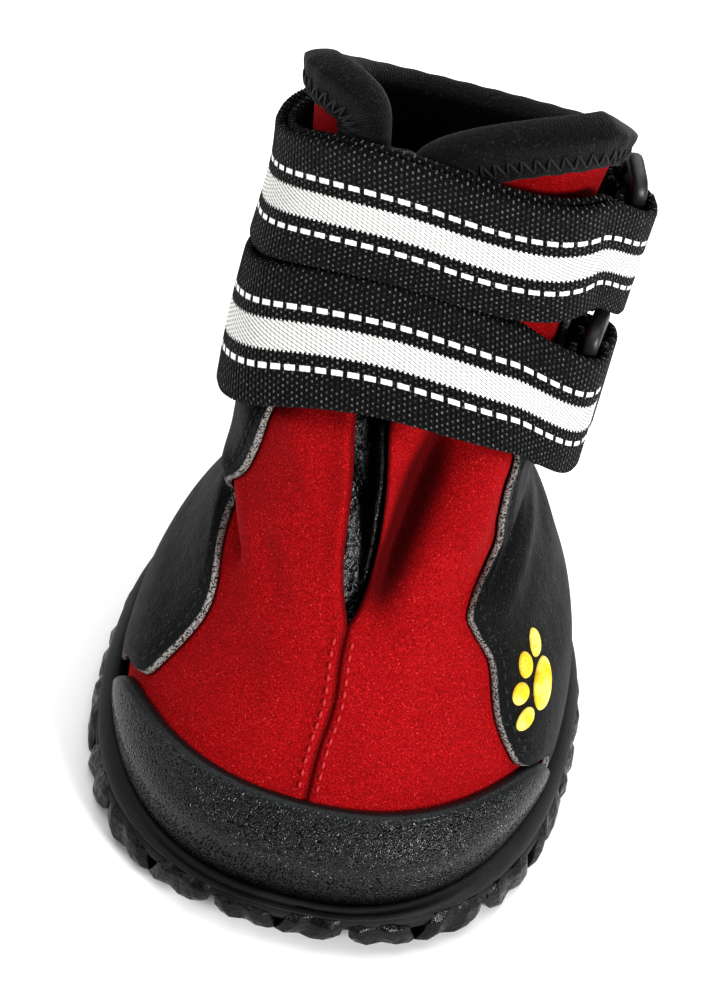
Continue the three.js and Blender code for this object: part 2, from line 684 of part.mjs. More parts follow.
// A plastic loop: a rounded rectangle of round bar, with the strap's turn on its front
// bar and the tab's turn on its rear one
function loopRing(line, loop) {
  const frame = loopFrame(line, loop);
  const bend = 0.75 * LOOP_BAR;
  const [wide, tall] = [LOOP_SPAN / 2 - bend, (STRAP_WIDTH + LOOP_BAR) / 2 + 2 * FIT - bend];
  const corners = [
    { x: wide, y: tall, from: 0 },
    { x: -wide, y: tall, from: 90 },
    { x: -wide, y: -tall, from: 180 },
    { x: wide, y: -tall, from: 270 },
  ];
  const sections = corners.flatMap((corner) =>
    [0, 45, 90].map((turn) => {
      const a = (corner.from + turn) * DEG;
      return Array.from({ length: 6 }, (_, k) => {
        const b = ((k + 0.5) * TURN) / 6;
        const reach = bend + (LOOP_BAR / 2) * Math.cos(b);
        return frame(
          corner.x + reach * Math.cos(a),
          corner.y + reach * Math.sin(a),
          (LOOP_BAR / 2) * Math.sin(b),
        );
      });
    }),
  );
  return sweep(sections, true);
}

// A plain paw for dog wear: a rounded pad and four oval toes, domed on the overlay
const PAW_ANGLE = 71.5;
const PAW_PLACE = 0.21;
const PAW_LEAN = 52; // degrees the toes lean towards the front
const PAW = [
  { name: "paw_pad", across: 0, up: -2.9, long: 3.3, high: 2.7, lean: 0 },
  { name: "paw_toe_1", across: -4.4, up: 1.2, long: 1.3, high: 2.2, lean: 24 },
  { name: "paw_toe_2", across: -1.6, up: 3.7, long: 1.35, high: 2.3, lean: 8 },
  { name: "paw_toe_3", across: 1.6, up: 3.7, long: 1.35, high: 2.3, lean: -8 },
  { name: "paw_toe_4", across: 4.4, up: 1.2, long: 1.3, high: 2.2, lean: -24 },
];

function pawPiece(piece) {
  const low = 2 * FIT + OVERLAY_THICKNESS + 0.1;
  const centre = new THREE.Vector2();
  const ring = (share, out) =>
    Array.from({ length: 12 }, (_, k) => {
      const a = (k * TURN) / 12;
      const p = new THREE.Vector2(piece.long * share * Math.cos(a), piece.high * share * Math.sin(a))
        .rotateAround(centre, piece.lean * DEG)
        .add(new THREE.Vector2(piece.across, piece.up))
        .rotateAround(centre, PAW_LEAN * DEG);
      const place = stepOnFace(PAW_ANGLE * DEG, PAW_PLACE, p.x, p.y);
      return onWall(place.angle, place.t, out);
    });
  return sweep([ring(1, low), ring(1, low + PAW_THICKNESS * 0.6), ring(0.7, low + PAW_THICKNESS)]);
}

add("outsole", outsole(), rubber);
add("insole", insole(), lining);
add("upper", upper(), red);
add("tongue", tongue(), lining);
add("toe_cap", toeCap(), rubber);
add("side_overlay", sideOverlay(), coated);
add("collar_binding", collarBinding(), lining);
for (const { name, line, loop, from, finish } of STRAPS) {
  const [tabFrom, tabFinish] = [loop + TAB_REACH, loop + TAB_REACH - TAB_STEP];
  add(name + "_strap", foldedBand(line, STRAP_WIDTH, loop, from, finish, 26), webbing);
  add(name + "_loop", loopRing(line, loop), plastic);
  add(name + "_loop_tab", foldedBand(line, TAB_WIDTH, loop, tabFrom, tabFinish, 5), webbing);
}
for (const piece of PAW) add(piece.name, pawPiece(piece), yellow);

export default base;
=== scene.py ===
"""The looks of a left dog bootie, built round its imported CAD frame.

Sizes are in millimetres until a piece becomes a mesh, which is in metres. The toe points to -Y
and the wearer's left side is +X. A place on the boot is an angle round it, from the front
towards +X, and a share t of the way from the sole to the rim."""
import math

import bmesh
import bpy
import numpy as np
from mathutils import Matrix, Vector


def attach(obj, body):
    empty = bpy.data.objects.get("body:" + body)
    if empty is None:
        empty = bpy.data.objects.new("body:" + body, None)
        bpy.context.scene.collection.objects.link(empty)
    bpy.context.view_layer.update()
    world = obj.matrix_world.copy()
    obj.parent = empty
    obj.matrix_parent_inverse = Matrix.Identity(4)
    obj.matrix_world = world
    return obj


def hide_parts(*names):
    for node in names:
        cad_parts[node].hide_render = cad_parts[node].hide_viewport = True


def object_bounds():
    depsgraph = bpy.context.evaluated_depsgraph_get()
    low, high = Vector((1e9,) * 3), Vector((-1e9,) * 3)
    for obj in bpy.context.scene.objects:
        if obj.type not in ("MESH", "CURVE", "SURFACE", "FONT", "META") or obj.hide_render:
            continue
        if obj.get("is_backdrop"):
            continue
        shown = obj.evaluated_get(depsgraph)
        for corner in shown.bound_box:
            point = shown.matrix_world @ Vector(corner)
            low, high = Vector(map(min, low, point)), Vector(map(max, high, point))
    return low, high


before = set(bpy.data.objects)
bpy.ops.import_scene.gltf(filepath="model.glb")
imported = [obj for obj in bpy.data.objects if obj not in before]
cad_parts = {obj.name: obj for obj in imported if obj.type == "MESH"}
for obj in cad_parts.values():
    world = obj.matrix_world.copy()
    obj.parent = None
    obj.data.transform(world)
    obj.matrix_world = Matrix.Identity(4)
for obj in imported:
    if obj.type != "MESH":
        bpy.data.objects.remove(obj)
cad_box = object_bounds()

MM = 0.001
TURN = 2 * math.pi

# Driving sizes, the same as the frame's
FOOT_LENGTH = 75.5
FOOT_WIDTH = 60.4
BOOT_HEIGHT = 113
WALL = 2.5
FIT = 0.3
FLOOR_HEIGHT = 7
BAND_HEIGHT = 10.6
BAND_FOOT_OUT = 3.7
BAND_TOP_OUT = 1.5
LUG_DEPTH = 3
LUG_PROUD = 1.0
TOE_SPRING = 3.6
BAND_DIP = 3.4
INSOLE_THICKNESS = 2.4
CAP_THICKNESS = 1.9
OVERLAY_THICKNESS = 1.1
TONGUE_THICKNESS = 1.2
THROAT_GAP = 4.8
BINDING_WIDTH = 6.2
BINDING_THICKNESS = 0.9
STRAP_WIDTH = 20
STRAP_THICKNESS = 1.3
LOOP_BAR = 2.4


class Curve:
    """A smooth curve through a table's rows: every column at any value of the first one."""

    def __init__(self, names, rows):
        self.names = names.split()
        self.rows = np.array(rows, float)
        key = self.rows[:, 0]
        before = np.maximum(np.arange(len(key)) - 1, 0)
        after = np.minimum(np.arange(len(key)) + 1, len(key) - 1)
        rise = self.rows[after] - self.rows[before]
        self.slopes = rise / (key[after] - key[before])[:, None]

    def at(self, values):
        values = np.asarray(values, float)
        key = self.rows[:, 0]
        i = np.clip(np.searchsorted(key, values, side="right") - 1, 0, len(key) - 2)
        step = (key[i + 1] - key[i])[..., None]
        u = np.clip((values - key[i])[..., None] / step, 0, 1)
        made = (
            self.rows[i] * (1 + 2 * u) * (1 - u) ** 2
            + self.slopes[i] * step * u * (1 - u) ** 2
            + self.rows[i + 1] * u * u * (3 - 2 * u)
            + self.slopes[i + 1] * step * u * u * (u - 1)
        )
        return {name: made[..., k] for k, name in enumerate(self.names)}


# The last. front and back are shares of half the foot's length, the rises are shares of the
# height above the insole, half is a share of half the foot's width, square is how boxy the
# front is, twist turns the throat in degrees and sway moves the section sideways.
LAST = Curve("t front front_rise back back_rise half square twist sway", [
    (0.00, -0.985, 0.000, 0.975, 0.000, 0.985, 2.38, 0, 0),
    (0.05, -0.996, 0.045, 0.996, 0.045, 1.000, 2.38, 0, 0),
    (0.10, -0.972, 0.090, 1.010, 0.092, 0.975, 2.38, 0, 0),
    (0.16, -0.850, 0.133, 1.018, 0.144, 0.920, 2.30, 0, 0),
    (0.22, -0.725, 0.177, 1.020, 0.183, 0.840, 2.25, 0, 0),
    (0.28, -0.600, 0.227, 1.020, 0.225, 0.762, 2.20, 2, -0.010),
    (0.34, -0.480, 0.276, 1.018, 0.266, 0.682, 2.20, 2.5, -0.035),
    (0.41, -0.345, 0.330, 1.014, 0.310, 0.640, 2.25, 5.5, -0.070),
    (0.52, -0.120, 0.425, 1.002, 0.368, 0.640, 2.35, 3, -0.085),
    (0.64, 0.090, 0.532, 0.992, 0.440, 0.655, 2.45, -4.5, -0.080),
    (0.76, 0.255, 0.650, 0.986, 0.530, 0.655, 2.50, -12, -0.065),
    (0.88, 0.360, 0.797, 0.992, 0.648, 0.640, 2.50, -18, -0.045),
    (0.95, 0.382, 0.905, 1.002, 0.735, 0.665, 2.40, -22, -0.040),
    (1.00, 0.371, 1.000, 1.017, 0.800, 0.720, 2.30, -24, -0.030),
])
BACK_SQUARE = 2.2

THROAT_END = 0.375
THROAT_ROUND = 0.1
EARS = {
    1: {"start": 0.914, "angle": 86, "bend": 1.75},
    -1: {"start": 0.93, "angle": 58, "bend": 4.2},
}
CAP_TOP = 0.158
CAP_ENDS = {1: 76, -1: 71}
CAP_ROUND = 2.6
OVERLAY_TOP = 0.925
BINDING_START = 0.87

# The side overlay's wavy front edge, in degrees from the toe
WAVE = Curve("t left right", [
    (0.0, 79, 79),
    (0.06, 78.5, 78.5),
    (0.085, 74.5, 74.5),
    (0.1, 70.5, 70.5),
    (0.12, 65, 64.5),
    (0.14, 61.5, 60),
    (0.185, 58, 57),
    (0.24, 56, 55),
    (0.285, 55, 56),
    (0.31, 53, 60),
    (0.335, 50.5, 70),
    (0.36, 48, 79),
    (0.38, 52, 78),
    (0.4, 61, 75),
    (0.43, 63, 69),
    (0.465, 60, 61),
    (0.51, 57, 53),
    (0.56, 55, 45),
    (0.61, 58, 43),
    (0.66, 70, 56),
    (0.71, 90, 78),
    (0.76, 110, 102),
    (0.81, 124, 122),
    (1.0, 140, 140),
])

# The lower strap's middle line, and the room above it before the upper strap
STRAP_LINE = Curve("angle t room", [
    (-180, 0.61, 1.4),
    (-120, 0.624, 0.9),
    (-80, 0.645, 0.7),
    (-50, 0.672, 0.7),
    (-20, 0.71, 0.7),
    (5, 0.722, 0.7),
    (33, 0.714, 0.8),
    (60, 0.688, 2.3),
    (90, 0.655, 4.3),
    (130, 0.622, 3.0),
    (180, 0.61, 1.4),
])
TAB_WIDTH = 16
STRAP_OUT = 3.6 * FIT + max(OVERLAY_THICKNESS, BINDING_THICKNESS)
BAR_ROOM = LOOP_BAR + 3 * FIT
LOOP_SPAN = LOOP_BAR + 2 * STRAP_THICKNESS + 5 * FIT

# The cloth's main creases. Columns: from_angle, from_t, to_angle, to_t, width and
# height, which is below zero for a trough
CREASES = [
    (9, 0.41, 31, 0.64, 3.4, -6.0),
    (44, 0.44, 51, 0.66, 4.2, 2.0),
    (6, 0.46, 6, 0.64, 2.0, 1.6),
    (-9, 0.40, -10, 0.64, 2.2, 0.6),
    (20, 0.34, 44, 0.38, 3.4, 0.7),
    (-57, 0.345, -84, 0.38, 2.4, -2.2),
    (-52, 0.42, -80, 0.45, 3.0, 0.9),
    (-26, 0.24, -38, 0.30, 3.0, -0.5),
    (-30, 0.36, -46, 0.43, 3.2, -0.9),
    (-22, 0.50, -38, 0.62, 3.0, 0.8),
    (24, 0.25, 38, 0.31, 2.8, -0.5),
    (54, 0.375, 84, 0.42, 2.2, -0.9),
    (62, 0.33, 98, 0.37, 2.6, 0.6),
    (108, 0.40, 152, 0.44, 2.6, -1.3),
    (-108, 0.41, -152, 0.45, 2.6, -1.3),
    (120, 0.50, 158, 0.52, 2.4, -0.8),
    (128, 0.56, 172, 0.555, 2.2, -0.7),
    (98, 0.30, 140, 0.335, 3.2, -0.6),
    (-100, 0.31, -142, 0.34, 3.2, -0.6),
    (-118, 0.50, -160, 0.52, 2.4, -0.5),
]
ROUND_PER_DEGREE = 0.36  # about how far a degree is round the boot there
RISE_PER_T = 116.0  # and how far the whole of t is


def smooth(low, high, value):
    """0 below low, 1 above high, and a smooth step between them."""
    u = np.clip((value - low) / (high - low), 0, 1)
    return u * u * (3 - 2 * u)


def bell(value, middle, width):
    """1 at the middle, falling softly to 0 over a width or two."""
    return np.exp(-(((value - middle) / width) ** 2))


def unit(vectors):
    return vectors / np.linalg.norm(vectors, axis=-1, keepdims=True)


def sizes(vectors):
    return np.linalg.norm(vectors, axis=-1)


def spot(x, y, z):
    return np.stack(np.broadcast_arrays(x, y, z), axis=-1)


def lengths(points):
    """How far along a line each of its points lies."""
    gaps = sizes(np.diff(points, axis=0))
    return np.concatenate([[0], np.cumsum(gaps)])


def face_point(angle, t):
    """A point of the upper's outer face, before the cloth swells."""
    row = LAST.at(t)
    rise = BOOT_HEIGHT - FLOOR_HEIGHT - FIT
    base = FLOOR_HEIGHT + FIT
    front_y = row["front"] * FOOT_LENGTH / 2
    back_y = row["back"] * FOOT_LENGTH / 2
    front_z = base + row["front_rise"] * rise
    back_z = base + row["back_rise"] * rise
    turned = angle + np.radians(row["twist"])
    c, s = np.cos(turned), np.sin(turned)
    power = np.where(c > 0, row["square"], BACK_SQUARE)
    reach = (np.abs(c) ** power + np.abs(s) ** power) ** (-1 / power)
    towards = np.where(c > 0, 1, -1) * reach * np.abs(c) / 2
    x = (row["sway"] + row["half"] * reach * s) * FOOT_WIDTH / 2
    y = (front_y + back_y) / 2 + (front_y - back_y) * towards
    z = (front_z + back_z) / 2 + (front_z - back_z) * towards
    return spot(x, y, z)


def face_slopes(angle, t):
    """The directions of growing angle and growing t at a point of the face."""
    step = 2e-3
    low = np.maximum(0, t - step)
    high = np.minimum(1, t + step)
    about = (face_point(angle + step, t) - face_point(angle - step, t)) / (2 * step)
    up = (face_point(angle, high) - face_point(angle, low)) / np.asarray(high - low)[..., None]
    return about, up


def swell(angle, t):
    """How far the cloth's creases move it out at a place."""
    degrees = (np.degrees(angle) + 180) % 360 - 180
    out = np.zeros(np.broadcast(degrees, t).shape)
    for from_angle, from_t, to_angle, to_t, width, height in CREASES:
        run = np.array([(to_angle - from_angle) * ROUND_PER_DEGREE, (to_t - from_t) * RISE_PER_T])
        length = np.linalg.norm(run)
        x = (degrees - from_angle) * ROUND_PER_DEGREE
        y = (t - from_t) * RISE_PER_T
        along = (x * run[0] + y * run[1]) / length
        aside = (x * run[1] - y * run[0]) / length
        fade = smooth(-0.25, 0.25, along / length) * smooth(1.3, 0.7, along / length)
        out += height * fade * bell(aside, 0, width)
    below_strap = (STRAP_LINE.at(degrees)["t"] - t) * RISE_PER_T - STRAP_WIDTH / 2
    out += 0.9 * bell(below_strap, 4, 3.5) * smooth(75, 40, np.abs(degrees))
    strapped = smooth(-0.5, 2.5, below_strap)
    return out * strapped * smooth(0.16, 0.26, t)


def facing(angle, t):
    """The direction away from the face."""
    return unit(np.cross(*face_slopes(angle, t)))


def on_last(angle, t, out=0.0, cloth=1.0):
    """A point at a distance out from the upper's face. cloth is its share of the creases."""
    angle, t = np.broadcast_arrays(np.asarray(angle, float), np.asarray(t, float))
    lift = np.asarray(out + cloth * swell(angle, t))
    return face_point(angle, t) + facing(angle, t) * lift[..., None]


def place_over_band(angle):
    """The place t where the face comes out of the sole's side band."""
    low = np.zeros(np.shape(angle))
    high = np.full(np.shape(angle), 0.3)
    for _ in range(30):
        middle = (low + high) / 2
        face = face_point(angle, middle)
        under = face[..., 2] < band_top(face[..., 1]) + FIT
        low = np.where(under, middle, low)
        high = np.where(under, high, middle)
    return low


def outline_point(angle, out):
    """The sole's outline in plan, at a distance out from the foot of the upper."""
    foot_t = 0.05
    angle, out = np.broadcast_arrays(np.asarray(angle, float), np.asarray(out, float))
    about, _ = face_slopes(angle, np.full(angle.shape, foot_t))
    side = unit(np.stack([about[..., 1], -about[..., 0]], axis=-1))
    return face_point(angle, np.full(angle.shape, foot_t))[..., :2] + side * out[..., None]


def spring_at(y):
    """How far the tread is lifted off the floor at a place along the boot."""
    start = -0.2 * FOOT_LENGTH
    end = -0.5 * FOOT_LENGTH - BAND_FOOT_OUT
    return TOE_SPRING * np.clip((y - start) / (end - start), 0, 1.2) ** 2


def band_top(y):
    """The height of the side band's top, which dips at the toe."""
    return BAND_HEIGHT - BAND_DIP * spring_at(y) / TOE_SPRING


def throat_angle(t, side):
    """The throat's edge at a place t, on one side (1 or -1)."""
    row = LAST.at(t)
    opened = np.clip((t - THROAT_END) / THROAT_ROUND, 0, 1)
    gap = THROAT_GAP / 2 * (1 - (1 - opened) ** 2)
    plain = np.arctan(2 * gap / (row["half"] * FOOT_WIDTH))
    ear = EARS[side]
    parted = np.clip((t - ear["start"]) / (1 - ear["start"]), 0, 1) ** ear["bend"]
    return side * (plain + (np.radians(ear["angle"]) - plain) * parted)


def quarter(distance, radius):
    """A rounded edge: 0 at the edge, 1 from a radius inside it."""
    return np.sqrt(np.clip(1 - (1 - np.clip(distance / radius, 0, 1)) ** 2, 0, 1))


def close_ends(count, fine=(0, 0.0008, 0.0022, 0.0045, 0.008, 0.013)):
    """Shares from 0 to 1 that lie closer together near both ends."""
    fine = np.array(fine)
    return np.concatenate([fine, np.linspace(0.02, 0.98, count - 2 * len(fine)), 1 - fine[::-1]])


# Meshes


def link(name, data):
    """A new object in the scene."""
    made = bpy.data.objects.new(name, data)
    bpy.context.scene.collection.objects.link(made)
    return made


def mesh_of(name, work, materials):
    """A mesh with what a bmesh holds."""
    mesh = bpy.data.meshes.new(name)
    work.to_mesh(mesh)
    work.free()
    for material in materials:
        mesh.materials.append(material)
    return mesh


def riding(name, mesh):
    """A piece that rides on the frame's body."""
    piece = link(name, mesh)
    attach(piece, "root")
    return piece


def make_piece(name, points, faces, materials, sorts=None, values=None):
    """A piece with smooth shading. values are named numbers at its points."""
    mesh = bpy.data.meshes.new(name)
    mesh.from_pydata((np.asarray(points).reshape(-1, 3) * MM).tolist(), [], faces)
    for material in materials:
        mesh.materials.append(material)
    if sorts is not None:
        mesh.polygons.foreach_set("material_index", np.asarray(sorts, np.int32))
    for value_name, numbers in (values or {}).items():
        attribute = mesh.attributes.new(value_name, "FLOAT", "POINT")
        attribute.data.foreach_set("value", np.asarray(numbers, np.float32).ravel())
    mesh.polygons.foreach_set("use_smooth", np.ones(len(mesh.polygons), bool))
    work = bmesh.new()
    work.from_mesh(mesh)
    bmesh.ops.remove_doubles(work, verts=work.verts, dist=1e-7)
    loose = [v for v in work.verts if not v.link_faces]
    bmesh.ops.delete(work, geom=loose, context="VERTS")
    bmesh.ops.recalc_face_normals(work, faces=work.faces)
    work.to_mesh(mesh)
    work.free()
    mesh.update()
    return riding(name, mesh)


def grid_faces(columns, rows, start=0, ring=False, flip=False):
    """Quads over a grid of points that lie column by column."""
    i = np.arange(columns if ring else columns - 1)[:, None]
    j = np.arange(rows - 1)[None, :]
    a = start + i * rows + j
    b = start + ((i + 1) % columns) * rows + j
    quads = np.stack(np.broadcast_arrays(a, b, b + 1, a + 1), axis=-1).reshape(-1, 4)
    return (quads[:, ::-1] if flip else quads).tolist()


def edge_faces(outer_line, inner_line):
    """Quads between two lines of point numbers."""
    pairs = zip(outer_line[:-1], outer_line[1:], inner_line[1:], inner_line[:-1])
    return [list(map(int, four)) for four in pairs]


def slab(name, outer, inner, materials, ring=False, open_rows=None, values=None, sorts=(0, 0, 0)):
    """A closed piece between two grids of points. open_rows is where a wrapped grid's first
    and last columns don't meet. sorts are the materials of its face, its back and its edges."""
    columns, rows = outer.shape[:2]
    count = columns * rows
    numbers = np.arange(count).reshape(columns, rows)
    faces = grid_faces(columns, rows, 0, ring)
    kinds = [sorts[0]] * len(faces)
    back = grid_faces(columns, rows, count, ring, flip=True)
    faces += back
    kinds += [sorts[1]] * len(back)
    lines = [numbers[:, 0], numbers[:, -1]]
    if ring:
        lines = [np.append(line, line[0]) for line in lines]
    else:
        sides = numbers if open_rows is None else numbers[:, open_rows]
        lines += [sides[0], sides[-1]]
    for line in lines:
        made = edge_faces(line, line + count)
        faces += made
        kinds += [sorts[2]] * len(made)
    if values:
        values = {key: np.concatenate([np.ravel(v), np.ravel(v)]) for key, v in values.items()}
    points = np.concatenate([outer.reshape(-1, 3), inner.reshape(-1, 3)])
    return make_piece(name, points, faces, materials, kinds, values)


def swept(name, sections, materials, ring=False, values=None):
    """A closed piece swept through sections, each a closed loop of points."""
    count, size = sections.shape[:2]
    looped = np.concatenate([sections, sections[:, :1]], axis=1)
    faces = grid_faces(count, size + 1, 0, ring)
    if not ring:
        last = (count - 1) * (size + 1)
        faces += [list(range(size)), list(range(last, last + size))]
    if values:
        values = {key: np.concatenate([v, v[:, :1]], axis=1) for key, v in values.items()}
    return make_piece(name, looped, faces, materials, None, values)


THREAD_SIDES = 6
THREAD_FLAT = 0.8
THREAD_END = 0.35  # a thread's thickness at its ends, as a share


def thread_sections(line, radius, away):
    """Round sections along a thread, pressed a little flat along away."""
    along = unit(np.gradient(line, axis=0))
    side = unit(np.cross(along, np.broadcast_to(away, line.shape)))
    lift = THREAD_FLAT * np.cross(side, along)
    turn = ((np.arange(THREAD_SIDES) + 0.5) * TURN / THREAD_SIDES)[:, None]
    return line[:, None] + radius * (side[:, None] * np.cos(turn) + lift[:, None] * np.sin(turn))


def threads(name, lines, normals, radius, material):
    """Many short threads as one piece: each is a round-ended tube along its own points."""
    points, faces = [], []
    rows = THREAD_SIDES + 1
    for line, normal in zip(lines, normals):
        share = np.linspace(0, 1, len(line))
        thick = radius * (THREAD_END + (1 - THREAD_END) * np.sin(np.pi * share) ** 0.5)
        rings = thread_sections(line, thick[:, None, None], normal)
        start = len(points) * len(line) * rows
        points.append(np.concatenate([rings, rings[:, :1]], axis=1).reshape(-1, 3))
        faces += grid_faces(len(line), rows, start)
        last = start + (len(line) - 1) * rows
        faces += [list(range(first, first + THREAD_SIDES)) for first in (start, last)]
    return make_piece(name, np.concatenate(points), faces, [material])


# The pieces


def sole_cup(materials):
    """The cup of the sole: a plate with a rounded side band and a groove above its tread."""
    angles = np.linspace(0, TURN, 360, endpoint=False)

    def ring(out, height, sprung):
        """A ring of the cup. sprung is its share of the toe's spring or, below 0, of the dip."""
        flat = outline_point(angles, out)
        most = 0.6 * TOE_SPRING if sprung > 0 else BAND_DIP
        lift = most * spring_at(flat[:, 1]) / TOE_SPRING
        return spot(flat[:, 0], flat[:, 1], height + lift * sprung)

    inside = -0.35 * FOOT_WIDTH
    side = [  # out from the band's foot, up from the tread, and the share of the toe's spring
        (-2.2, 0, 1),
        (-1.2, 0.05, 1),
        (-0.5, 0.35, 1),
        (-0.12, 0.9, 0.9),
        (0, 1.6, 0.8),
        (-0.02, 2.5, 0.6),
        (-0.25, 3.0, 0.5),
        (-0.62, 3.25, 0.45),
        (-0.66, 3.45, 0.4),
        (-0.35, 3.65, 0.35),
        (-0.1, 4.0, 0.3),
        (-0.06, 4.6, 0.2),
        (-0.2, 5.3, -0.1),
        (-0.5, 6.0, -0.3),
        (-0.95, 6.7, -0.6),
    ]
    lip = [(0.8, -0.35), (0.45, -0.06), (0.05, 0.02), (-0.35, -0.1)]
    profile = [(inside, LUG_DEPTH, 1)]
    profile += [(BAND_FOOT_OUT + out, LUG_DEPTH + up, sprung) for out, up, sprung in side]
    profile += [(BAND_TOP_OUT + out, BAND_HEIGHT + up, -1) for out, up in lip]
    profile += [
        (FIT + 0.5, BAND_HEIGHT - 0.5, -1),
        (FIT + 0.2, BAND_HEIGHT - 1.2, -1),
        (FIT, FLOOR_HEIGHT + 0.6, 0),
        (FIT - 0.3, FLOOR_HEIGHT, 0),
        (inside, FLOOR_HEIGHT, 0),
    ]
    return swept("sole_cup", np.array([ring(*row) for row in profile]), materials)


def block(work, rings):
    """A tread block from rings of corners, from its foot up."""
    made = [[work.verts.new(Vector(p) * MM) for p in ring] for ring in rings]
    size = len(rings[0])
    work.faces.new(made[0][::-1])
    work.faces.new(made[-1])
    for low, high in zip(made[:-1], made[1:]):
        for k in range(size):
            n = (k + 1) % size
            work.faces.new((low[k], low[n], high[n], high[k]))


def finish_blocks(name, work, bevel, materials):
    """Bevels all the blocks' sharp edges and makes one piece of them."""
    bmesh.ops.recalc_face_normals(work, faces=work.faces)
    sharp = [e for e in work.edges if e.is_manifold and e.calc_face_angle(0) > math.radians(18)]
    bmesh.ops.bevel(
        work, geom=sharp, offset=bevel * MM, offset_type="OFFSET", segments=2, profile=0.6,
        affect="EDGES", clamp_overlap=True,
    )
    mesh = mesh_of(name, work, materials)
    mesh.polygons.foreach_set("use_smooth", np.ones(len(mesh.polygons), bool))
    mesh.set_sharp_from_angle(angle=math.radians(42))
    return riding(name, mesh)


EDGE_LUGS = 22
LUG_HALF = 0.45  # half of a lug's share of the way to the next
LUG_REACH = (9, 6.5)  # how far they reach under the sole
LUG_CLIMB = (6.6, 5.9, 6.3, 5.6)  # how far they climb the side band


def edge_lugs(materials):
    """The chunky lugs round the tread's edge, which climb the side band in turn."""
    work = bmesh.new()
    for k in range(EDGE_LUGS):
        middle = TURN * (k + 0.5) / EDGE_LUGS
        half = TURN / EDGE_LUGS * LUG_HALF
        tall = k % 2 == 0
        depth = LUG_REACH[k % 2]
        lean = (-0.35 if tall else 0.35) * half
        climb = LUG_CLIMB[k % 4]

        def corners(share, out, height, sprung, skew):
            rows = [
                (middle - half * share, out - 0.6),
                (middle - half * 0.62 * share, out),
                (middle - half * 0.12 * share, out - 0.75 * share),
                (middle + half * 0.28 * share, out - 0.05),
                (middle + half * 0.7 * share, out - 0.15),
                (middle + half * share, out - 0.85),
            ]
            rows = [(angle + skew * half, o) for angle, o in rows]
            rows += [
                (middle + half * 0.8 + lean, -depth * 0.8),
                (middle - half * 0.6 + lean, -depth),
            ]
            made = []
            for angle, o in rows:
                p = outline_point(angle, BAND_FOOT_OUT + o)
                made.append((p[0], p[1], height + sprung * spring_at(p[1])))
            return made

        skew = 0.22 if tall else -0.2
        block(work, [
            corners(0.96, LUG_PROUD * 0.75, 0, 1, -skew),
            corners(1.0, LUG_PROUD, LUG_DEPTH * 0.55, 0.9, 0),
            corners(0.95, LUG_PROUD * 0.85, LUG_DEPTH + 1.6, 0.55, skew * 0.5),
            corners(0.78, 0.0, LUG_DEPTH + climb - 2.4, 0.1, skew * 1.1),
        ])
    return finish_blocks("edge_lugs", work, 0.32, materials)


def middle_lugs(materials):
    """The blocks inside the edge lugs, in staggered rows about the middle one."""
    work = bmesh.new()
    pitch, size = 0.15 * FOOT_LENGTH, 0.052 * FOOT_LENGTH
    for row in range(-3, 4):
        for column in range(-2, 3):
            x = (column + (abs(row) % 2) / 2) * pitch * 1.08
            y = row * pitch * 0.86
            if math.hypot(x / (0.36 * FOOT_WIDTH), (y + 2) / (0.37 * FOOT_LENGTH)) > 1:
                continue
            rings = []
            for share, height, sprung in ((1, 0, 1), (1.06, LUG_DEPTH + 1, 0.6)):
                ring = []
                for k in range(6):
                    radius = size * share * (1.15 if k % 3 == 0 else 0.95)
                    px = x + radius * math.cos(k * TURN / 6)
                    py = y + radius * math.sin(k * TURN / 6)
                    ring.append((px, py, height + sprung * spring_at(py)))
                rings.append(ring)
            block(work, rings)
    return finish_blocks("middle_lugs", work, 0.35, materials)


def upper_shell(materials):
    """The stretch shell with its lining, slit from the instep up, with rounded slit edges."""
    shares = close_ends(230)[:, None]
    ear_start = EARS[1]["start"]
    t = np.concatenate([np.linspace(0, ear_start, 170), np.linspace(ear_start, 1, 40)[1:]])
    start = throat_angle(t, 1)
    end = TURN + throat_angle(t, -1)
    angle = start + (end - start) * shares
    about, _ = face_slopes(angle, np.broadcast_to(t, angle.shape))
    from_edge = np.minimum(shares, 1 - shares) * (end - start) * sizes(about)
    opened = smooth(THROAT_END, THROAT_END + 0.03, t)
    lip = (1 - quarter(from_edge, WALL * 0.5)) * opened * WALL * 0.5
    hem = 0.35 * bell(from_edge, 1.0, 0.8) * opened
    closed = (1 - opened) * smooth(0.1, 0.14, t)
    seam = 0.6 * bell(from_edge, 0, 0.4) - 0.42 * bell(from_edge, 1.1, 0.8)
    outer = on_last(angle, t, hem - lip - seam * closed)
    inner = on_last(angle, t, -WALL + lip)
    # fold, the creases' height, sets the red's painted shade in the troughs. from_seam darkens the red
    # along the seam and the slit's edges.
    return slab(
        "upper_shell", outer, inner, materials, sorts=(0, 1, 0),
        open_rows=np.flatnonzero(t >= THROAT_END),
        values={"from_seam": from_edge, "fold": swell(angle, t)},
    )


def gusset(materials):
    """The coated cloth behind the slit, with a ridge up its middle and small wrinkles."""
    degrees = np.linspace(-34, 34, 96)[:, None]
    t = np.linspace(THROAT_END - 0.045, 0.91, 160)
    ridge = 2.3 * bell(degrees, 4.5, 3.6) * smooth(0.38, 0.44, t)
    ridge = ridge * smooth(0.9, 0.7, t)
    folds = 0.25 * np.sin(degrees * 0.42 + 9 * t) * np.sin(t * 46 + degrees * 0.11)
    out = -(WALL + BINDING_THICKNESS + 3 * FIT) + ridge + folds
    angle = np.radians(degrees) * np.ones(t.shape)
    outer = on_last(angle, t, out)
    inner = on_last(angle, t, out - TONGUE_THICKNESS)
    return slab("gusset", outer, inner, materials)


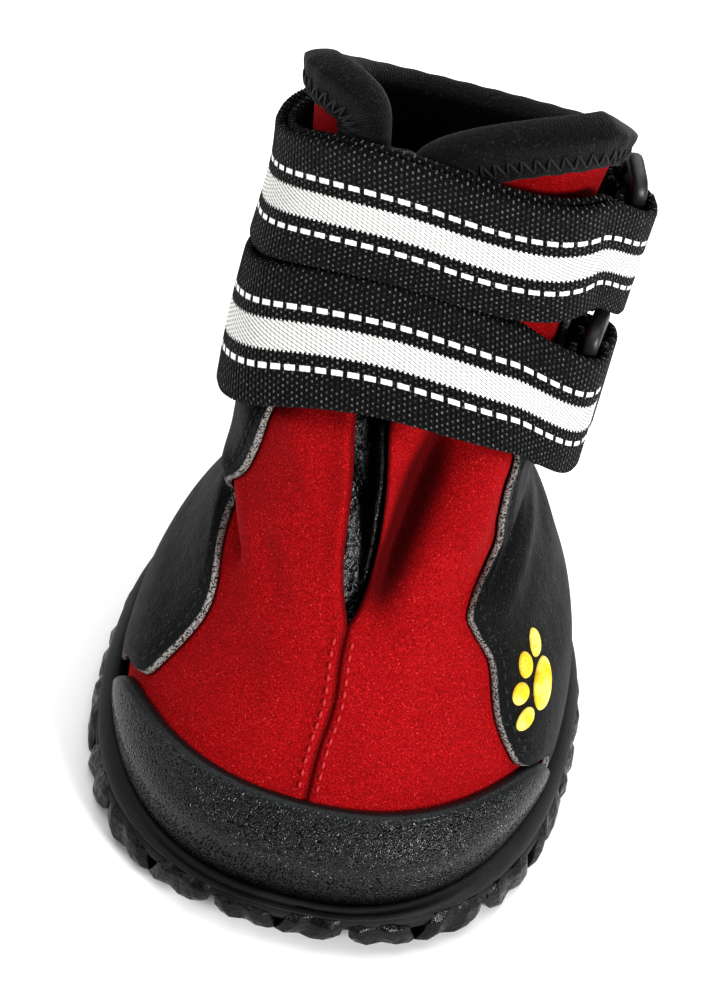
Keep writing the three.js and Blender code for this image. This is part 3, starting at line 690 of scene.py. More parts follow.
def footbed(materials):
    """The felt footbed, a plate inside the foot of the upper."""
    angles = np.linspace(0, TURN, 160, endpoint=False)
    bottom = FLOOR_HEIGHT + FIT
    side = -(WALL + 2 * FIT)
    rows = [(side - 0.4, 0), (side - 0.1, 1.2), (side, 1.9), (side - 0.3, 2.3)]
    rows += [(side - 1, INSOLE_THICKNESS), (-6, 2.2), (-12, 1.9), (-18, 1.9), (-24, 2.0)]
    sections = []
    for out, height in rows:
        flat = outline_point(angles, out)
        sections.append(spot(flat[:, 0], flat[:, 1], bottom + height))
    return swept("footbed", np.array(sections), materials)


def toe_cap(materials):
    """The rubber cap: thickest across its middle, round-edged, with low rounded ends."""
    across = np.sin(np.linspace(-1, 1, 260) * math.pi / 2)[:, None]
    up = close_ends(64, (0, 0.004, 0.012, 0.024, 0.04, 0.06))
    end = np.where(across > 0, CAP_ENDS[1], CAP_ENDS[-1])
    angle = np.radians(across * end) * np.ones(up.shape)
    low = place_over_band(angle)
    fall = np.maximum(0.05, (1 - np.abs(across) ** CAP_ROUND) ** (1 / CAP_ROUND))
    t = low + (CAP_TOP - low) * fall * up
    top_edge = (1 - up) * (CAP_TOP - low) * fall * RISE_PER_T
    end_edge = (1 - np.abs(across)) * np.radians(end) * FOOT_WIDTH * 0.55
    rounding = quarter(np.minimum(top_edge, end_edge * 1.6), 1.0)
    rise = CAP_THICKNESS * (0.7 + 0.45 * np.sin(2.7 * up)) - 0.25
    rise = rise * (smooth(-0.1, 0.12, end_edge / 30) * 0.35 + 0.65)
    outer = on_last(angle, t, 1.2 * FIT + 0.25 + rise * rounding)
    inner = on_last(angle, t, 1.2 * FIT)
    return slab("toe_cap_rubber", outer, inner, materials, values={"from_top": top_edge})


def overlay_place(across, up):
    """A place on the side overlay: across from its left front edge to its right one."""
    start = 0.03
    t = start + (OVERLAY_TOP - start) * up
    wave = WAVE.at(t)
    angle = np.radians(wave["left"] + (360 - wave["right"] - wave["left"]) * across)
    low = place_over_band(angle)
    return angle, np.maximum(t, low + (t - start) * 0.1)


STITCH_INSET = 1.7  # from the overlay's edge to its stitches


def side_overlay(materials):
    """The coated overlay round both sides and the heel, with a soft cut edge."""
    across = close_ends(262, (0, 0.0006, 0.0015, 0.003, 0.005, 0.0075))[:, None]
    up = close_ends(184, (0, 0.001, 0.0022, 0.004, 0.006, 0.008))
    angle, t = overlay_place(across, up)
    about, _ = face_slopes(angle, t)
    wave = WAVE.at(t)
    degrees = np.degrees(angle)
    side = np.minimum(degrees - wave["left"], 360 - wave["right"] - degrees)
    edge = np.radians(np.abs(side)) * sizes(about)
    edge = np.minimum(edge, (1 - up) * RISE_PER_T)
    rounding = quarter(edge, 0.55)
    puff = 0.4 * smooth(0.6, 3.0, edge) * smooth(0.02, 0.12, t)
    trench = -0.3 * bell(edge, STITCH_INSET, 0.35)
    low = 1.2 * FIT
    outer = on_last(angle, t, low + 0.3 + (OVERLAY_THICKNESS - 0.3) * rounding + puff + trench)
    inner = on_last(angle, t, low)
    return slab("overlay_cloth", outer, inner, materials, values={"from_edge": edge})


BELOW_RIM = 0.999  # slopes are taken just below the rim


def rim_path(step, start=BINDING_START):
    """Places at even steps from inside the slit over one ear, round the back and over the
    other ear, and the unit direction there into the cloth, as lengths round and up."""
    climb = 1 - (1 - np.linspace(0, 1, 900)) ** 2
    t = start + (1 - start) * climb
    back = np.linspace(throat_angle(1.0, 1), TURN + throat_angle(1.0, -1), 1600)
    angles = np.concatenate([throat_angle(t, 1), back[1:-1], TURN + throat_angle(t[::-1], -1)])
    places = np.concatenate([t, np.ones(len(back) - 2), t[::-1]])
    length = lengths(face_point(angles, places))
    even = np.linspace(0, length[-1], int(length[-1] / step) + 1)
    angles, places = np.interp(even, length, angles), np.interp(even, length, places)
    about, up = face_slopes(angles, np.minimum(places, BELOW_RIM))
    along = np.stack([np.gradient(angles) * sizes(about), np.gradient(places) * sizes(up)], axis=-1)
    for _ in range(3):
        along[1:-1] = (along[:-2] + 2 * along[1:-1] + along[2:]) / 4
    along = unit(along)
    return even, angles, places, np.stack([along[:, 1], -along[:, 0]], axis=-1)


def rim_point(angles, places, into, depth, out):
    """A point near the rim, at a depth into the cloth and a distance out from its face."""
    about, up = face_slopes(angles, np.minimum(places, BELOW_RIM))
    angle = angles + into[:, 0] * depth / sizes(about)
    t = places + into[:, 1] * depth / sizes(up)
    over = np.maximum(0, t - 1) * sizes(up)
    return on_last(angle, np.minimum(t, 1), out) + unit(up) * over[:, None]


ZIGZAG_PITCH = 1.9
ZIGZAG_DEPTHS = (2.2, 5.0)


def binding_out(even):
    """The outer face of the binding puckers a little between its stitches."""
    return FIT + BINDING_THICKNESS + 0.1 * np.sin(even * TURN / (2 * ZIGZAG_PITCH))


def collar_binding(materials):
    """The edge tape folded over the rim, softly rounded over its top."""
    even, angles, places, into = rim_path(0.6)
    outer = binding_out(even)
    inner = -(WALL + FIT + BINDING_THICKNESS)
    middle, half = (outer + inner) / 2, (outer - inner) / 2
    dips = ((BINDING_WIDTH, 0.35), (5.8, 0.05), (4.4, 0.12), (3.4, 0.06), (2.2, 0), (0.8, 0))
    lines = [(depth, outer - dip) for depth, dip in dips]
    over_rim = np.radians(np.linspace(70, -70, 9))
    lines += [(0.2 - 1.15 * math.cos(a), middle + half * math.sin(a)) for a in over_rim]
    lines += [(depth, inner) for depth in (0.8, 3, 5.6, BINDING_WIDTH)]
    lines += [(depth, -(WALL + FIT / 2)) for depth in (BINDING_WIDTH, 0)]
    lines += [(depth, FIT / 2) for depth in (0, BINDING_WIDTH)]
    sections = np.stack([rim_point(angles, places, into, d, o) for d, o in lines], axis=1)
    along = np.broadcast_to(even[:, None], sections.shape[:2])
    depths = np.broadcast_to(np.array([d for d, _ in lines]), sections.shape[:2])
    return swept("binding_tape", sections, materials, values={"along": along, "depth": depths})


def strap_line(upper, degrees):
    """The middle line of a strap at any angle in degrees."""
    wrapped = (np.asarray(degrees, float) + 180) % 360 - 180
    row = STRAP_LINE.at(wrapped)
    if not upper:
        return row["t"]
    _, up = face_slopes(np.radians(wrapped), row["t"] + 0.09)
    return row["t"] + (STRAP_WIDTH + row["room"]) / sizes(up)


def loop_frame(upper, loop):
    """The flat frame that a loop lies in: back, up and out from its middle."""
    angle = math.radians(loop)
    place = strap_line(upper, loop)
    about, up = face_slopes(angle, place)
    outwards = unit(np.cross(about, up))
    upwards = unit(up)
    backwards = unit(np.cross(upwards, outwards))
    middle = on_last(angle, place, STRAP_OUT + STRAP_THICKNESS + BAR_ROOM / 2, 0)

    def at(x, y, z):
        x, y, z = np.broadcast_arrays(x, y, z)
        return middle + x[..., None] * backwards + y[..., None] * upwards + z[..., None] * outwards

    return at


RIB_PITCH = 0.72  # of the webbing's ribs


def folded_band(name, upper, width, loop, start, finish, steps, materials):
    """A band of webbing that passes inside a bar of a loop, turns round it and doubles back.
    along and across are its own lengths, and face is 1 on the side that ends up outside."""
    at = loop_frame(upper, loop)
    back = np.sign(start - loop)
    bar = back * LOOP_SPAN / 2
    angles = np.radians([loop, loop + back])
    pair = on_last(angles, strap_line(upper, np.array([loop, loop + back])), STRAP_OUT, 0)
    per_degree = np.linalg.norm(pair[0] - pair[1])
    turn_radius = (BAR_ROOM + STRAP_THICKNESS) / 2
    sides = np.linspace(-1, 1, 25)
    sides = np.sign(sides) * np.abs(sides) ** 0.8 * width / 2

    def band_pass(end, out, lift):
        degrees = np.linspace(loop + bar / per_degree, end, steps)[:, None]
        along = np.abs(degrees - loop) * per_degree
        free = smooth(0, 11, along - LOOP_SPAN / 2)[..., None]
        place = strap_line(upper, degrees)
        _, up = face_slopes(np.radians(degrees), place)
        t = place + sides / sizes(up)
        on_boot = on_last(np.radians(degrees), t, out, 0)
        return at(back * along, sides, lift) * (1 - free) + on_boot * free

    inner = band_pass(start, STRAP_OUT + STRAP_THICKNESS / 2, -turn_radius)
    outer = band_pass(finish, STRAP_OUT + 1.5 * STRAP_THICKNESS + FIT, turn_radius)
    a = np.radians(np.linspace(-80, 80, 15))[:, None]
    turn = at(bar - back * turn_radius * np.cos(a), sides, turn_radius * np.sin(a))
    rails = np.concatenate([inner[::-1], turn, outer])
    length = lengths(rails[:, len(sides) // 2])
    along = np.gradient(rails, axis=0)
    across = (rails[:, -1] - rails[:, 0])[:, None]
    normal = unit(np.cross(along, across))
    rib = np.sin((length[-1] - length) * TURN / RIB_PITCH)[:, None]
    selvage = np.sign(sides) * smooth(width / 2 - 0.9, width / 2, np.abs(sides))
    edged = rails + unit(across) * (0.09 * rib * selvage)[..., None]
    thick = STRAP_THICKNESS / 2 * (0.5 + 0.5 * quarter(width / 2 - np.abs(sides), 0.7))
    thick = thick + 0.035 * rib
    top = edged + normal * thick[..., None]
    bottom = edged - normal * thick[..., None]
    sections = np.concatenate([top, bottom[:, ::-1]], axis=1)
    outside = float(back > 0)
    face = np.broadcast_to(
        np.concatenate([np.full(len(sides), outside), np.full(len(sides), 1 - outside)]),
        sections.shape[:2],
    )
    values = {
        "along": np.broadcast_to((length[-1] - length)[:, None], sections.shape[:2]),
        "across": np.broadcast_to(np.concatenate([sides, sides[::-1]]), sections.shape[:2]),
        "face": face,
    }
    return swept(name, sections, materials, values=values), rails, normal


def loop_ring(name, upper, loop, materials):
    """A moulded loop: a rounded rectangle of bar, a little flat on its faces."""
    at = loop_frame(upper, loop)
    bend = 0.75 * LOOP_BAR
    wide = LOOP_SPAN / 2 - bend
    tall = (STRAP_WIDTH + LOOP_BAR) / 2 + 2 * FIT - bend
    corners = [(wide, tall, 0), (-wide, tall, 90), (-wide, -tall, 180), (wide, -tall, 270)]
    b = (np.arange(20) + 0.5) * TURN / 20
    sections = []
    for x, y, first in corners:
        for a in np.radians(first + np.linspace(0, 90, 12)):
            square = (np.abs(np.cos(b)) ** 3 + np.abs(np.sin(b)) ** 3) ** (-1 / 3)
            reach = bend + LOOP_BAR / 2 * np.cos(b) * square * 0.96
            z = LOOP_BAR / 2 * np.sin(b) * square * 0.96
            sections.append(at(x + reach * math.cos(a), y + reach * math.sin(a), z))
    return swept(name, np.array(sections), materials, ring=True)


# A plain paw for dog wear: across, up, long, high and lean of its rounded pad and oval toes
PAW_ANGLE = 71.5
PAW_PLACE = 0.21
PAW_LEAN = 52
PAW = {
    "paw_pad": (0, -2.9, 3.3, 2.7, 0),
    "paw_toe_1": (-4.4, 1.2, 1.3, 2.2, 24),
    "paw_toe_2": (-1.6, 3.7, 1.35, 2.3, 8),
    "paw_toe_3": (1.6, 3.7, 1.35, 2.3, -8),
    "paw_toe_4": (4.4, 1.2, 1.3, 2.2, -24),
}
PAW_THICKNESS = 0.7
THREAD_PITCH = 0.45


def turned(x, y, degrees):
    a = math.radians(degrees)
    return x * math.cos(a) - y * math.sin(a), x * math.sin(a) + y * math.cos(a)


def paw_piece(name, materials):
    """A domed patch of satin stitch, its threads side by side across it."""
    across, up, long, high, lean = PAW[name]
    radius = np.sin(np.linspace(0, 1, 26) * math.pi / 2)[:, None]
    a = np.linspace(0, TURN, 96, endpoint=False)
    x, y = long * radius * np.cos(a), high * radius * np.sin(a)
    dome = quarter((1 - radius) * min(long, high), 0.9)
    ridges = 0.13 * np.abs(np.sin((y + 0.35 * x) * math.pi / THREAD_PITCH)) * dome
    x, y = turned(x, y, lean)
    x, y = turned(x + across, y + up, PAW_LEAN)
    about, up_slope = face_slopes(np.radians(PAW_ANGLE), PAW_PLACE)
    angle = np.radians(PAW_ANGLE) + x / np.linalg.norm(about)
    t = PAW_PLACE + y / np.linalg.norm(up_slope)
    low = 1.2 * FIT + OVERLAY_THICKNESS + 0.35
    outer = on_last(angle, t, low + PAW_THICKNESS * dome + ridges)
    rings = np.concatenate([outer, on_last(angle[-1:], t[-1:], low - 0.3)])
    return swept(name + "_satin", rings[1:], materials)


# Stitching


def on_cloth(angle, t, out):
    """Points at a distance from the upper's face with the directions away from it."""
    return on_last(angle, t, out), facing(angle, t)


def dashes(points, normals, pitch, share):
    """Running stitches along a line of points: thread after thread, each a low arch."""
    length = lengths(points)
    lines, ups = [], []
    for start in np.arange(0.3, length[-1] - pitch, pitch):
        at = start + np.linspace(0, pitch * share, 6)
        line = np.stack([np.interp(at, length, points[:, k]) for k in range(3)], axis=-1)
        normal = unit(np.array([np.interp(at[2], length, normals[:, k]) for k in range(3)]))
        arch = np.sin(np.linspace(0, np.pi, 6)) ** 0.5 * 0.1
        lines.append(line + normal * (arch[:, None] - 0.03))
        ups.append(normal)
    return lines, ups


def gather(rows):
    """Several rows of threads as one list."""
    lines = [line for row in rows for line in row[0]]
    normals = [normal for row in rows for normal in row[1]]
    return lines, normals


def seam_stitches(material):
    """Two rows of stitches either side of the vamp's seam, from the cap to the slit."""
    t = np.linspace(CAP_TOP + 0.01, THROAT_END - 0.004, 200)
    rows = []
    for side in (-1, 1):
        about, _ = face_slopes(np.zeros(t.shape), t)
        angle = side * 1.25 / sizes(about)
        rows.append(dashes(*on_cloth(angle, t, 0.44), 1.7, 0.6))
    lines, normals = gather(rows)
    return threads("seam_stitches", lines, normals, 0.24, material)


def overlay_stitches(material):
    """A row of stitches inside the side overlay's wavy edges."""
    up = np.linspace(0.12, 0.995, 700)
    rows = []
    for side in (0, 1):
        angle, t = overlay_place(np.full(up.shape, float(side)), up)
        about, _ = face_slopes(angle, t)
        inwards = (1 if side == 0 else -1) * STITCH_INSET / sizes(about)
        slant = np.gradient(angle) / np.gradient(t)
        slope = np.abs(slant) * sizes(about) / RISE_PER_T
        angle = angle + inwards * np.sqrt(1 + np.minimum(slope, 2.0) ** 2)
        rows.append(dashes(*on_cloth(angle, t, 1.2 * FIT + OVERLAY_THICKNESS + 0.06), 1.9, 0.7))
    lines, normals = gather(rows)
    return threads("overlay_stitches", lines, normals, 0.2, material)


def zigzag_stitches(material):
    """The zigzag that holds the binding, all the way round the rim."""
    even, angles, places, into = rim_path(ZIGZAG_PITCH / 2, BINDING_START + 0.01)
    out = FIT + BINDING_THICKNESS + 0.02
    near = rim_point(angles, places, into, ZIGZAG_DEPTHS[0], out)
    far = rim_point(angles, places, into, ZIGZAG_DEPTHS[1], out)
    normals = facing(angles, np.minimum(places, BELOW_RIM))
    lines, ups = [], []
    for k in range(len(even) - 1):
        a, b = (near[k], far[k + 1]) if k % 2 else (far[k], near[k + 1])
        share = np.linspace(0, 1, 6)[:, None]
        arch = np.sin(share * math.pi) ** 0.6 * 0.16
        lines.append(a * (1 - share) + b * share + normals[k] * arch)
        ups.append(normals[k])
    return threads("binding_zigzag", lines, ups, 0.2, material)


def box_stitches(name, rails, away, material):
    """A sewn box with a cross on a stretch of a band's rails. away points out of its face."""
    away = unit(away)
    face = rails + away * (STRAP_THICKNESS / 2 + 0.04)
    ups = away[:, 0]
    left, right = face[:, 2], face[:, -3]
    share = np.linspace(0, 1, len(face))[:, None]
    ways = [left, right, left * (1 - share) + right * share, right * (1 - share) + left * share]
    rows = [dashes(way, ups, 1.7, 0.7) for way in ways]
    for end in (0, -1):
        way = face[end, 2:-2]
        rows.append(dashes(way, np.broadcast_to(ups[end], way.shape), 1.7, 0.7))
    lines, normals = gather(rows)
    return threads(name, lines, normals, 0.2, material)


# Materials


class Nodes:
    """Nodes added to one tree. Each call gives back the socket that the next one reads."""

    def __init__(self, tree):
        self.tree = tree

    def add(self, kind, inputs=None, **settings):
        node = self.tree.nodes.new("ShaderNode" + kind)
        for key, value in settings.items():
            setattr(node, key, value)
        for key, value in (inputs or {}).items():
            self.put(node.inputs[key], value)
        return node

    def put(self, socket, value):
        if isinstance(value, bpy.types.NodeSocket):
            self.tree.links.new(value, socket)
        else:
            socket.default_value = value

    def math(self, operation, a, b=0.0, clamp=False):
        inputs = {0: a, 1: b}
        return self.add("Math", inputs, operation=operation, use_clamp=clamp).outputs[0]

    def plus(self, a, b):
        return self.math("ADD", a, b)

    def times(self, a, b):
        return self.math("MULTIPLY", a, b)

    def rest(self, value):
        """What is left of 1."""
        return self.math("SUBTRACT", 1.0, value)

    def place(self):
        return self.add("TexCoord").outputs["Object"]

    def value(self, name):
        return self.add("Attribute", attribute_name=name).outputs["Fac"]

    def scale(self, size):
        """The scale of a texture whose cells are about size millimetres."""
        joined = isinstance(size, bpy.types.NodeSocket)
        return self.math("DIVIDE", 1000, size) if joined else 1000 / size

    def noise(self, size, detail=2.0, roughness=0.55):
        inputs = {"Vector": self.place(), "Scale": self.scale(size)}
        inputs.update(Detail=detail, Roughness=roughness)
        return self.add("TexNoise", inputs).outputs["Fac"]

    def step(self, value, low, high):
        """0 under low and 1 over high."""
        inputs = {"Value": value, "From Min": low, "From Max": high}
        return self.add("MapRange", inputs, interpolation_type="SMOOTHSTEP").outputs["Result"]

    def mix(self, share, a, b, kind="RGBA", first=6, result=2):
        inputs = {0: share, first: a, first + 1: b}
        return self.add("Mix", inputs, data_type=kind, clamp_factor=True).outputs[result]

    def blend(self, share, a, b):
        """A number from a to b."""
        return self.mix(share, a, b, "FLOAT", 2, 0)

    def use(self, effect, **inputs):
        """A shared effect placed here with its own values. Tuples of three are screen colours."""
        node = self.tree.nodes.new("ShaderNodeGroup")
        node.node_tree = effect
        for key, value in inputs.items():
            self.put(node.inputs[key], colour(*value) if isinstance(value, tuple) else value)
        return node.outputs


class Finish(Nodes):
    """A material with a Principled shader. constants are set on the shader's own sockets."""

    def __init__(self, name, **constants):
        self.made = bpy.data.materials.new(name)
        self.made.use_nodes = True
        super().__init__(self.made.node_tree)
        self.shader = self.tree.nodes["Principled BSDF"].inputs
        for key, value in constants.items():
            self.shader[key.replace("_", " ")].default_value = value

    def done(self, tone, roughness, height=None, distance=0.0):
        """Joins the shader's colour and roughness, and a height of 1 that stands up by distance
        millimetres."""
        self.put(self.shader["Base Color"], tone)
        self.put(self.shader["Roughness"], roughness)
        if height is not None:
            bump = self.add("Bump", {"Height": height, "Distance": distance * MM, "Strength": 1.0})
            self.put(self.shader["Normal"], bump.outputs["Normal"])
        return self.made


def effect(name, inputs, outputs):
    """A shared effect: a node group with named sockets. Gives its tree and its ends."""
    tree = bpy.data.node_groups.new(name, "ShaderNodeTree")
    kinds = {"color": "NodeSocketColor", "number": "NodeSocketFloat"}
    for label, kind, default in inputs:
        socket = tree.interface.new_socket(name=label, in_out="INPUT", socket_type=kinds[kind])
        if default is not None:
            socket.default_value = default
    for label, kind in outputs:
        tree.interface.new_socket(name=label, in_out="OUTPUT", socket_type=kinds[kind])
    into = tree.nodes.new("NodeGroupInput").outputs
    end = tree.nodes.new("NodeGroupOutput").inputs
    return tree, Nodes(tree), into, end


def colour(*screen):
    """A colour as seen on a screen, from 0 to 255, as the light it stands for."""
    shares = [value / 255 for value in screen]
    light = [v / 12.92 if v < 0.0404 else ((v + 0.055) / 1.055) ** 2.4 for v in shares]
    return (*light, 1.0)


def nap_effect():
    """Short fibres: a fine speckle of three tones and its height."""
    tree, n, into, end = effect(
        "Cloth nap",
        [("Size", "number", 0.4), ("Tone", "color", None), ("Dark", "color", None),
         ("Light", "color", None)],
        [("Color", "color"), ("Height", "number")],
    )
    fine = n.noise(into["Size"], 3.0, 0.6)
    wide = n.noise(9.0)
    tone = n.mix(n.step(fine, 0.36, 0.6), into["Dark"], into["Tone"])
    tone = n.mix(n.step(fine, 0.62, 0.72), tone, into["Light"])
    n.put(end["Color"], n.mix(n.times(n.step(wide, 0.4, 0.75), 0.25), tone, into["Dark"]))
    n.put(end["Height"], fine)
    return tree


def pebble_effect():
    """Moulded or leather-like grain: rounded pebbles with valleys between them."""
    tree, n, into, end = effect(
        "Pebble grain",
        [("Size", "number", 0.6)],
        [("Height", "number"), ("Valley", "number")],
    )
    place = n.place()
    warp = n.add("TexNoise", {"Vector": place, "Scale": 900.0, "Detail": 1.0}).outputs["Color"]
    bent = n.add("VectorMath", {0: warp, 1: (0.00035,) * 3}, operation="MULTIPLY").outputs[0]
    bent = n.add("VectorMath", {0: place, 1: bent}, operation="ADD").outputs[0]
    inputs = {"Vector": bent, "Scale": n.scale(into["Size"])}
    cells = n.add("TexVoronoi", inputs, feature="DISTANCE_TO_EDGE").outputs["Distance"]
    n.put(end["Height"], n.step(cells, 0.0, 0.6))
    # Valley marks the narrow valleys between pebbles, which the cap darkens as painted shade.
    n.put(end["Valley"], n.rest(n.step(cells, 0.0, 0.12)))
    return tree


def dust_effect():
    """Dust and handling: pale in broad patches and fine specks."""
    tree, n, into, end = effect(
        "Dust",
        [("Color", "color", None), ("Dust", "color", None), ("Amount", "number", 0.1)],
        [("Color", "color")],
    )
    broad = n.step(n.noise(12.0, 3.0), 0.42, 0.72)
    specks = n.step(n.noise(0.7, 3.0, 0.7), 0.6, 0.72)
    mask = n.math("MULTIPLY", n.plus(broad, specks), into["Amount"], True)
    n.put(end["Color"], n.mix(mask, into["Color"], into["Dust"]))
    return tree


NAP, PEBBLE, DUST = nap_effect(), pebble_effect(), dust_effect()


def stretch_red():
    tint = colour(240, 90, 90)
    n = Finish(
        "stretch_red", Sheen_Weight=0.12, Sheen_Roughness=0.4, Sheen_Tint=tint, Specular_IOR_Level=0.15
    )
    nap = n.use(NAP, Size=0.24, Tone=(160, 19, 26), Dark=(120, 10, 15), Light=(214, 84, 84))
    # Painted shade: the red darkens towards deep red in the creases' troughs, by the fold's depth. It
    # also darkens along the seam and the slit's edges.
    painted_trough_shade = n.step(n.value("fold"), -0.6, -4.2)
    seam = n.rest(n.step(n.value("from_seam"), 0.2, 0.7))
    shade = n.math("MAXIMUM", n.times(painted_trough_shade, 0.8), n.times(seam, 0.5))
    tone = n.mix(shade, nap["Color"], colour(66, 2, 6))
    height = n.plus(nap["Height"], n.times(n.noise(0.8), 0.6))
    return n.done(tone, n.blend(nap["Height"], 0.95, 0.75), height, 0.13)


def napped_cloth(name, nap, rough, distance, ribbed=False, **constants):
    """Matte cloth of short fibres. ribbed knits fine ribs along a band."""
    n = Finish(name, **constants)
    nap = n.use(NAP, **nap)
    height = nap["Height"]
    if ribbed:
        rib = n.math("SINE", n.times(n.value("along"), TURN / 0.5))
        height = n.plus(height, n.times(rib, 0.12))
    return n.done(nap["Color"], n.blend(nap["Height"], *rough), height, distance)


def dark_lining():
    nap = {"Size": 0.9, "Tone": (10, 10, 12), "Dark": (4, 4, 5), "Light": (28, 28, 31)}
    constants = {"Sheen_Weight": 0.1, "Specular_IOR_Level": 0.15}
    return napped_cloth("dark_lining", nap, (1.0, 0.85), 0.5, **constants)


def felt():
    nap = {"Size": 0.7, "Tone": (34, 34, 37), "Dark": (18, 18, 20), "Light": (70, 70, 74)}
    return napped_cloth("felt", nap, (1.0, 0.9), 0.3)


def binding_cloth():
    nap = {"Size": 0.4, "Tone": (24, 24, 26), "Dark": (12, 12, 13), "Light": (64, 65, 68)}
    constants = {"Sheen_Weight": 0.12, "Specular_IOR_Level": 0.15}
    return napped_cloth("binding_cloth", nap, (0.95, 0.75), 0.2, True, **constants)


def cap_rubber():
    n = Finish("cap_rubber", Specular_IOR_Level=0.46)
    lip = n.rest(n.step(n.value("from_top"), 0.6, 2.4))
    grain = n.use(PEBBLE, Size=0.5)
    dust = n.use(DUST, Color=(8, 9, 10), Dust=(46, 49, 51), Amount=0.08)
    # Painted shade: the pebble grain's valleys are a little darker.
    tone = n.mix(grain["Valley"], dust["Color"], colour(5, 5, 6))
    tone = n.mix(n.times(lip, 0.8), tone, colour(26, 30, 32))
    fine = n.noise(0.25, 2.0, 0.6)
    roughness = n.blend(lip, n.blend(fine, 0.04, 0.2), 0.45)
    height = n.plus(grain["Height"], n.times(fine, 0.5))
    return n.done(tone, roughness, n.times(height, n.blend(lip, 1.0, 0.3)), 0.2)


def moulded(name, dust, grain, rough, distance, patchy=False, **constants):
    """Moulded rubber or plastic with a fine grain and a little dust. patchy parts its gloss."""
    n = Finish(name, **constants)
    dust = n.use(DUST, **dust)
    fine = n.noise(*grain)
    gloss = n.step(fine, 0.35, 0.65) if patchy else fine
    return n.done(dust["Color"], n.blend(gloss, *rough), fine, distance)


def sole_rubber():
    dust = {"Color": (25, 26, 27), "Dust": (84, 86, 88), "Amount": 0.12}
    return moulded("sole_rubber", dust, (0.3, 3.0, 0.7), (0.45, 0.7), 0.06, Specular_IOR_Level=0.3)


def lug_rubber():
    dust = {"Color": (9, 9, 10), "Dust": (58, 60, 62), "Amount": 0.1}
    return moulded("lug_rubber", dust, (0.9, 3.0, 0.6), (0.18, 0.5), 0.25, True, Specular_IOR_Level=0.32)


def loop_plastic():
    dust = {"Color": (40, 42, 44), "Dust": (110, 112, 114), "Amount": 0.1}
    return moulded("loop_plastic", dust, (0.5, 3.0, 0.6), (0.32, 0.5), 0.04)


def coated_cloth():
    n = Finish("coated_cloth", Sheen_Weight=0.08, Specular_IOR_Level=0.16)
    nap = n.use(NAP, Size=0.35, Tone=(15, 16, 18), Dark=(7, 8, 9), Light=(92, 94, 98))
    cut = n.rest(n.step(n.value("from_edge"), 0.12, 0.42))
    frayed = n.times(cut, n.step(n.noise(0.28), 0.38, 0.56))
    wrinkle = n.noise(2.6, 4.0, 0.6)
    tone = n.mix(frayed, nap["Color"], colour(150, 148, 145))
    height = n.plus(n.times(nap["Height"], 0.6), wrinkle)
    return n.done(tone, n.blend(wrinkle, 0.5, 0.8), height, 0.28)


def gusset_cloth():
    n = Finish("gusset_cloth")
    grain = n.use(PEBBLE, Size=0.9)
    wrinkle = n.noise(2.2, 4.0, 0.65)
    # Painted shade and light: the tone follows the wrinkles' height, near black in their hollows and
    # lighter on their crests.
    tone = n.mix(n.step(wrinkle, 0.45, 0.7), colour(4, 4, 5), colour(16, 16, 18))
    height = n.plus(n.times(grain["Height"], 0.3), wrinkle)
    return n.done(tone, n.blend(wrinkle, 0.22, 0.5), height, 0.5)


WARP_PITCH = 0.9
TWILL_ALONG = 1.15
TWILL_ACROSS = 0.62
STRIPE_HALF = 2.2
DOT_ACROSS = 4.4
DOT_HALF = 0.42
DOT_PITCH = 2.3
DOT_SHARE = 0.8


def woven_white(n, along, across, rib, fine):
    """The white stripe in the webbing's middle and the rows of dashes beside it."""
    reach = n.math("ABSOLUTE", across)
    slant = n.plus(n.times(along, TURN / TWILL_ALONG), n.times(across, TURN / TWILL_ACROSS))
    twill = n.step(n.math("SINE", slant), -0.9, -0.1)
    weave = n.blend(n.times(twill, n.blend(fine, 0.7, 1.0)), 0.32, 1.0)
    reached = n.math("SUBTRACT", reach, n.times(n.step(rib, -0.4, 0.2), 0.28))
    stripe = n.rest(n.step(reached, STRIPE_HALF - 0.22, STRIPE_HALF - 0.1))
    off = n.math("ABSOLUTE", n.math("SUBTRACT", reach, DOT_ACROSS))
    dotted = n.rest(n.step(off, DOT_HALF - 0.1, DOT_HALF + 0.08))
    cycle = n.math("FRACT", n.math("DIVIDE", along, DOT_PITCH))
    begun, ended = n.step(cycle, 0.02, 0.1), n.step(cycle, DOT_SHARE - 0.08, DOT_SHARE)
    dash = n.times(begun, n.rest(ended))
    white = n.math("MAXIMUM", n.times(stripe, weave), n.times(dotted, dash))
    return n.times(white, n.value("face"))


def webbing_cloth(name, striped):
    """Ribbed webbing, with a woven white stripe and rows of white dashes on its face."""
    n = Finish(name, Sheen_Weight=0.04, Specular_IOR_Level=0.2)
    along, across = n.value("along"), n.value("across")
    fine = n.noise(0.35, 2.0, 0.6)
    loose = n.times(n.math("SUBTRACT", n.noise(1.5), 0.5), 1.6)
    rib = n.math("SINE", n.plus(n.times(along, TURN / RIB_PITCH), loose))
    row = n.math("FLOOR", n.math("DIVIDE", along, RIB_PITCH))
    shift = n.times(n.math("MODULO", row, 2.0), math.pi)
    warp = n.math("SINE", n.plus(n.times(across, TURN / WARP_PITCH), shift))
    # Painted highlights: where the ribs and the warp cross, the black is speckled light grey as glints.
    # The same knots also stand up in the bump.
    knot_and_glint = n.times(n.step(rib, -0.1, 0.8), n.step(warp, -0.2, 0.8))
    tone = n.mix(n.times(knot_and_glint, n.step(fine, 0.38, 0.66)), colour(4, 4, 5), colour(120, 121, 123))
    height = n.plus(n.times(rib, 0.5), n.times(knot_and_glint, 0.6))
    if striped:
        white = woven_white(n, along, across, rib, fine)
        tone = n.mix(white, tone, colour(248, 247, 244))
        height = n.plus(height, n.times(white, 0.8))
    return n.done(tone, n.blend(fine, 0.55, 0.85), height, 0.1)


def thread(name, tone, dark):
    n = Finish(name, Sheen_Weight=0.1)
    twist = n.noise(0.25, 2.0, 0.6)
    return n.done(n.mix(twist, dark, tone), n.blend(twist, 0.5, 0.75), twist, 0.08)


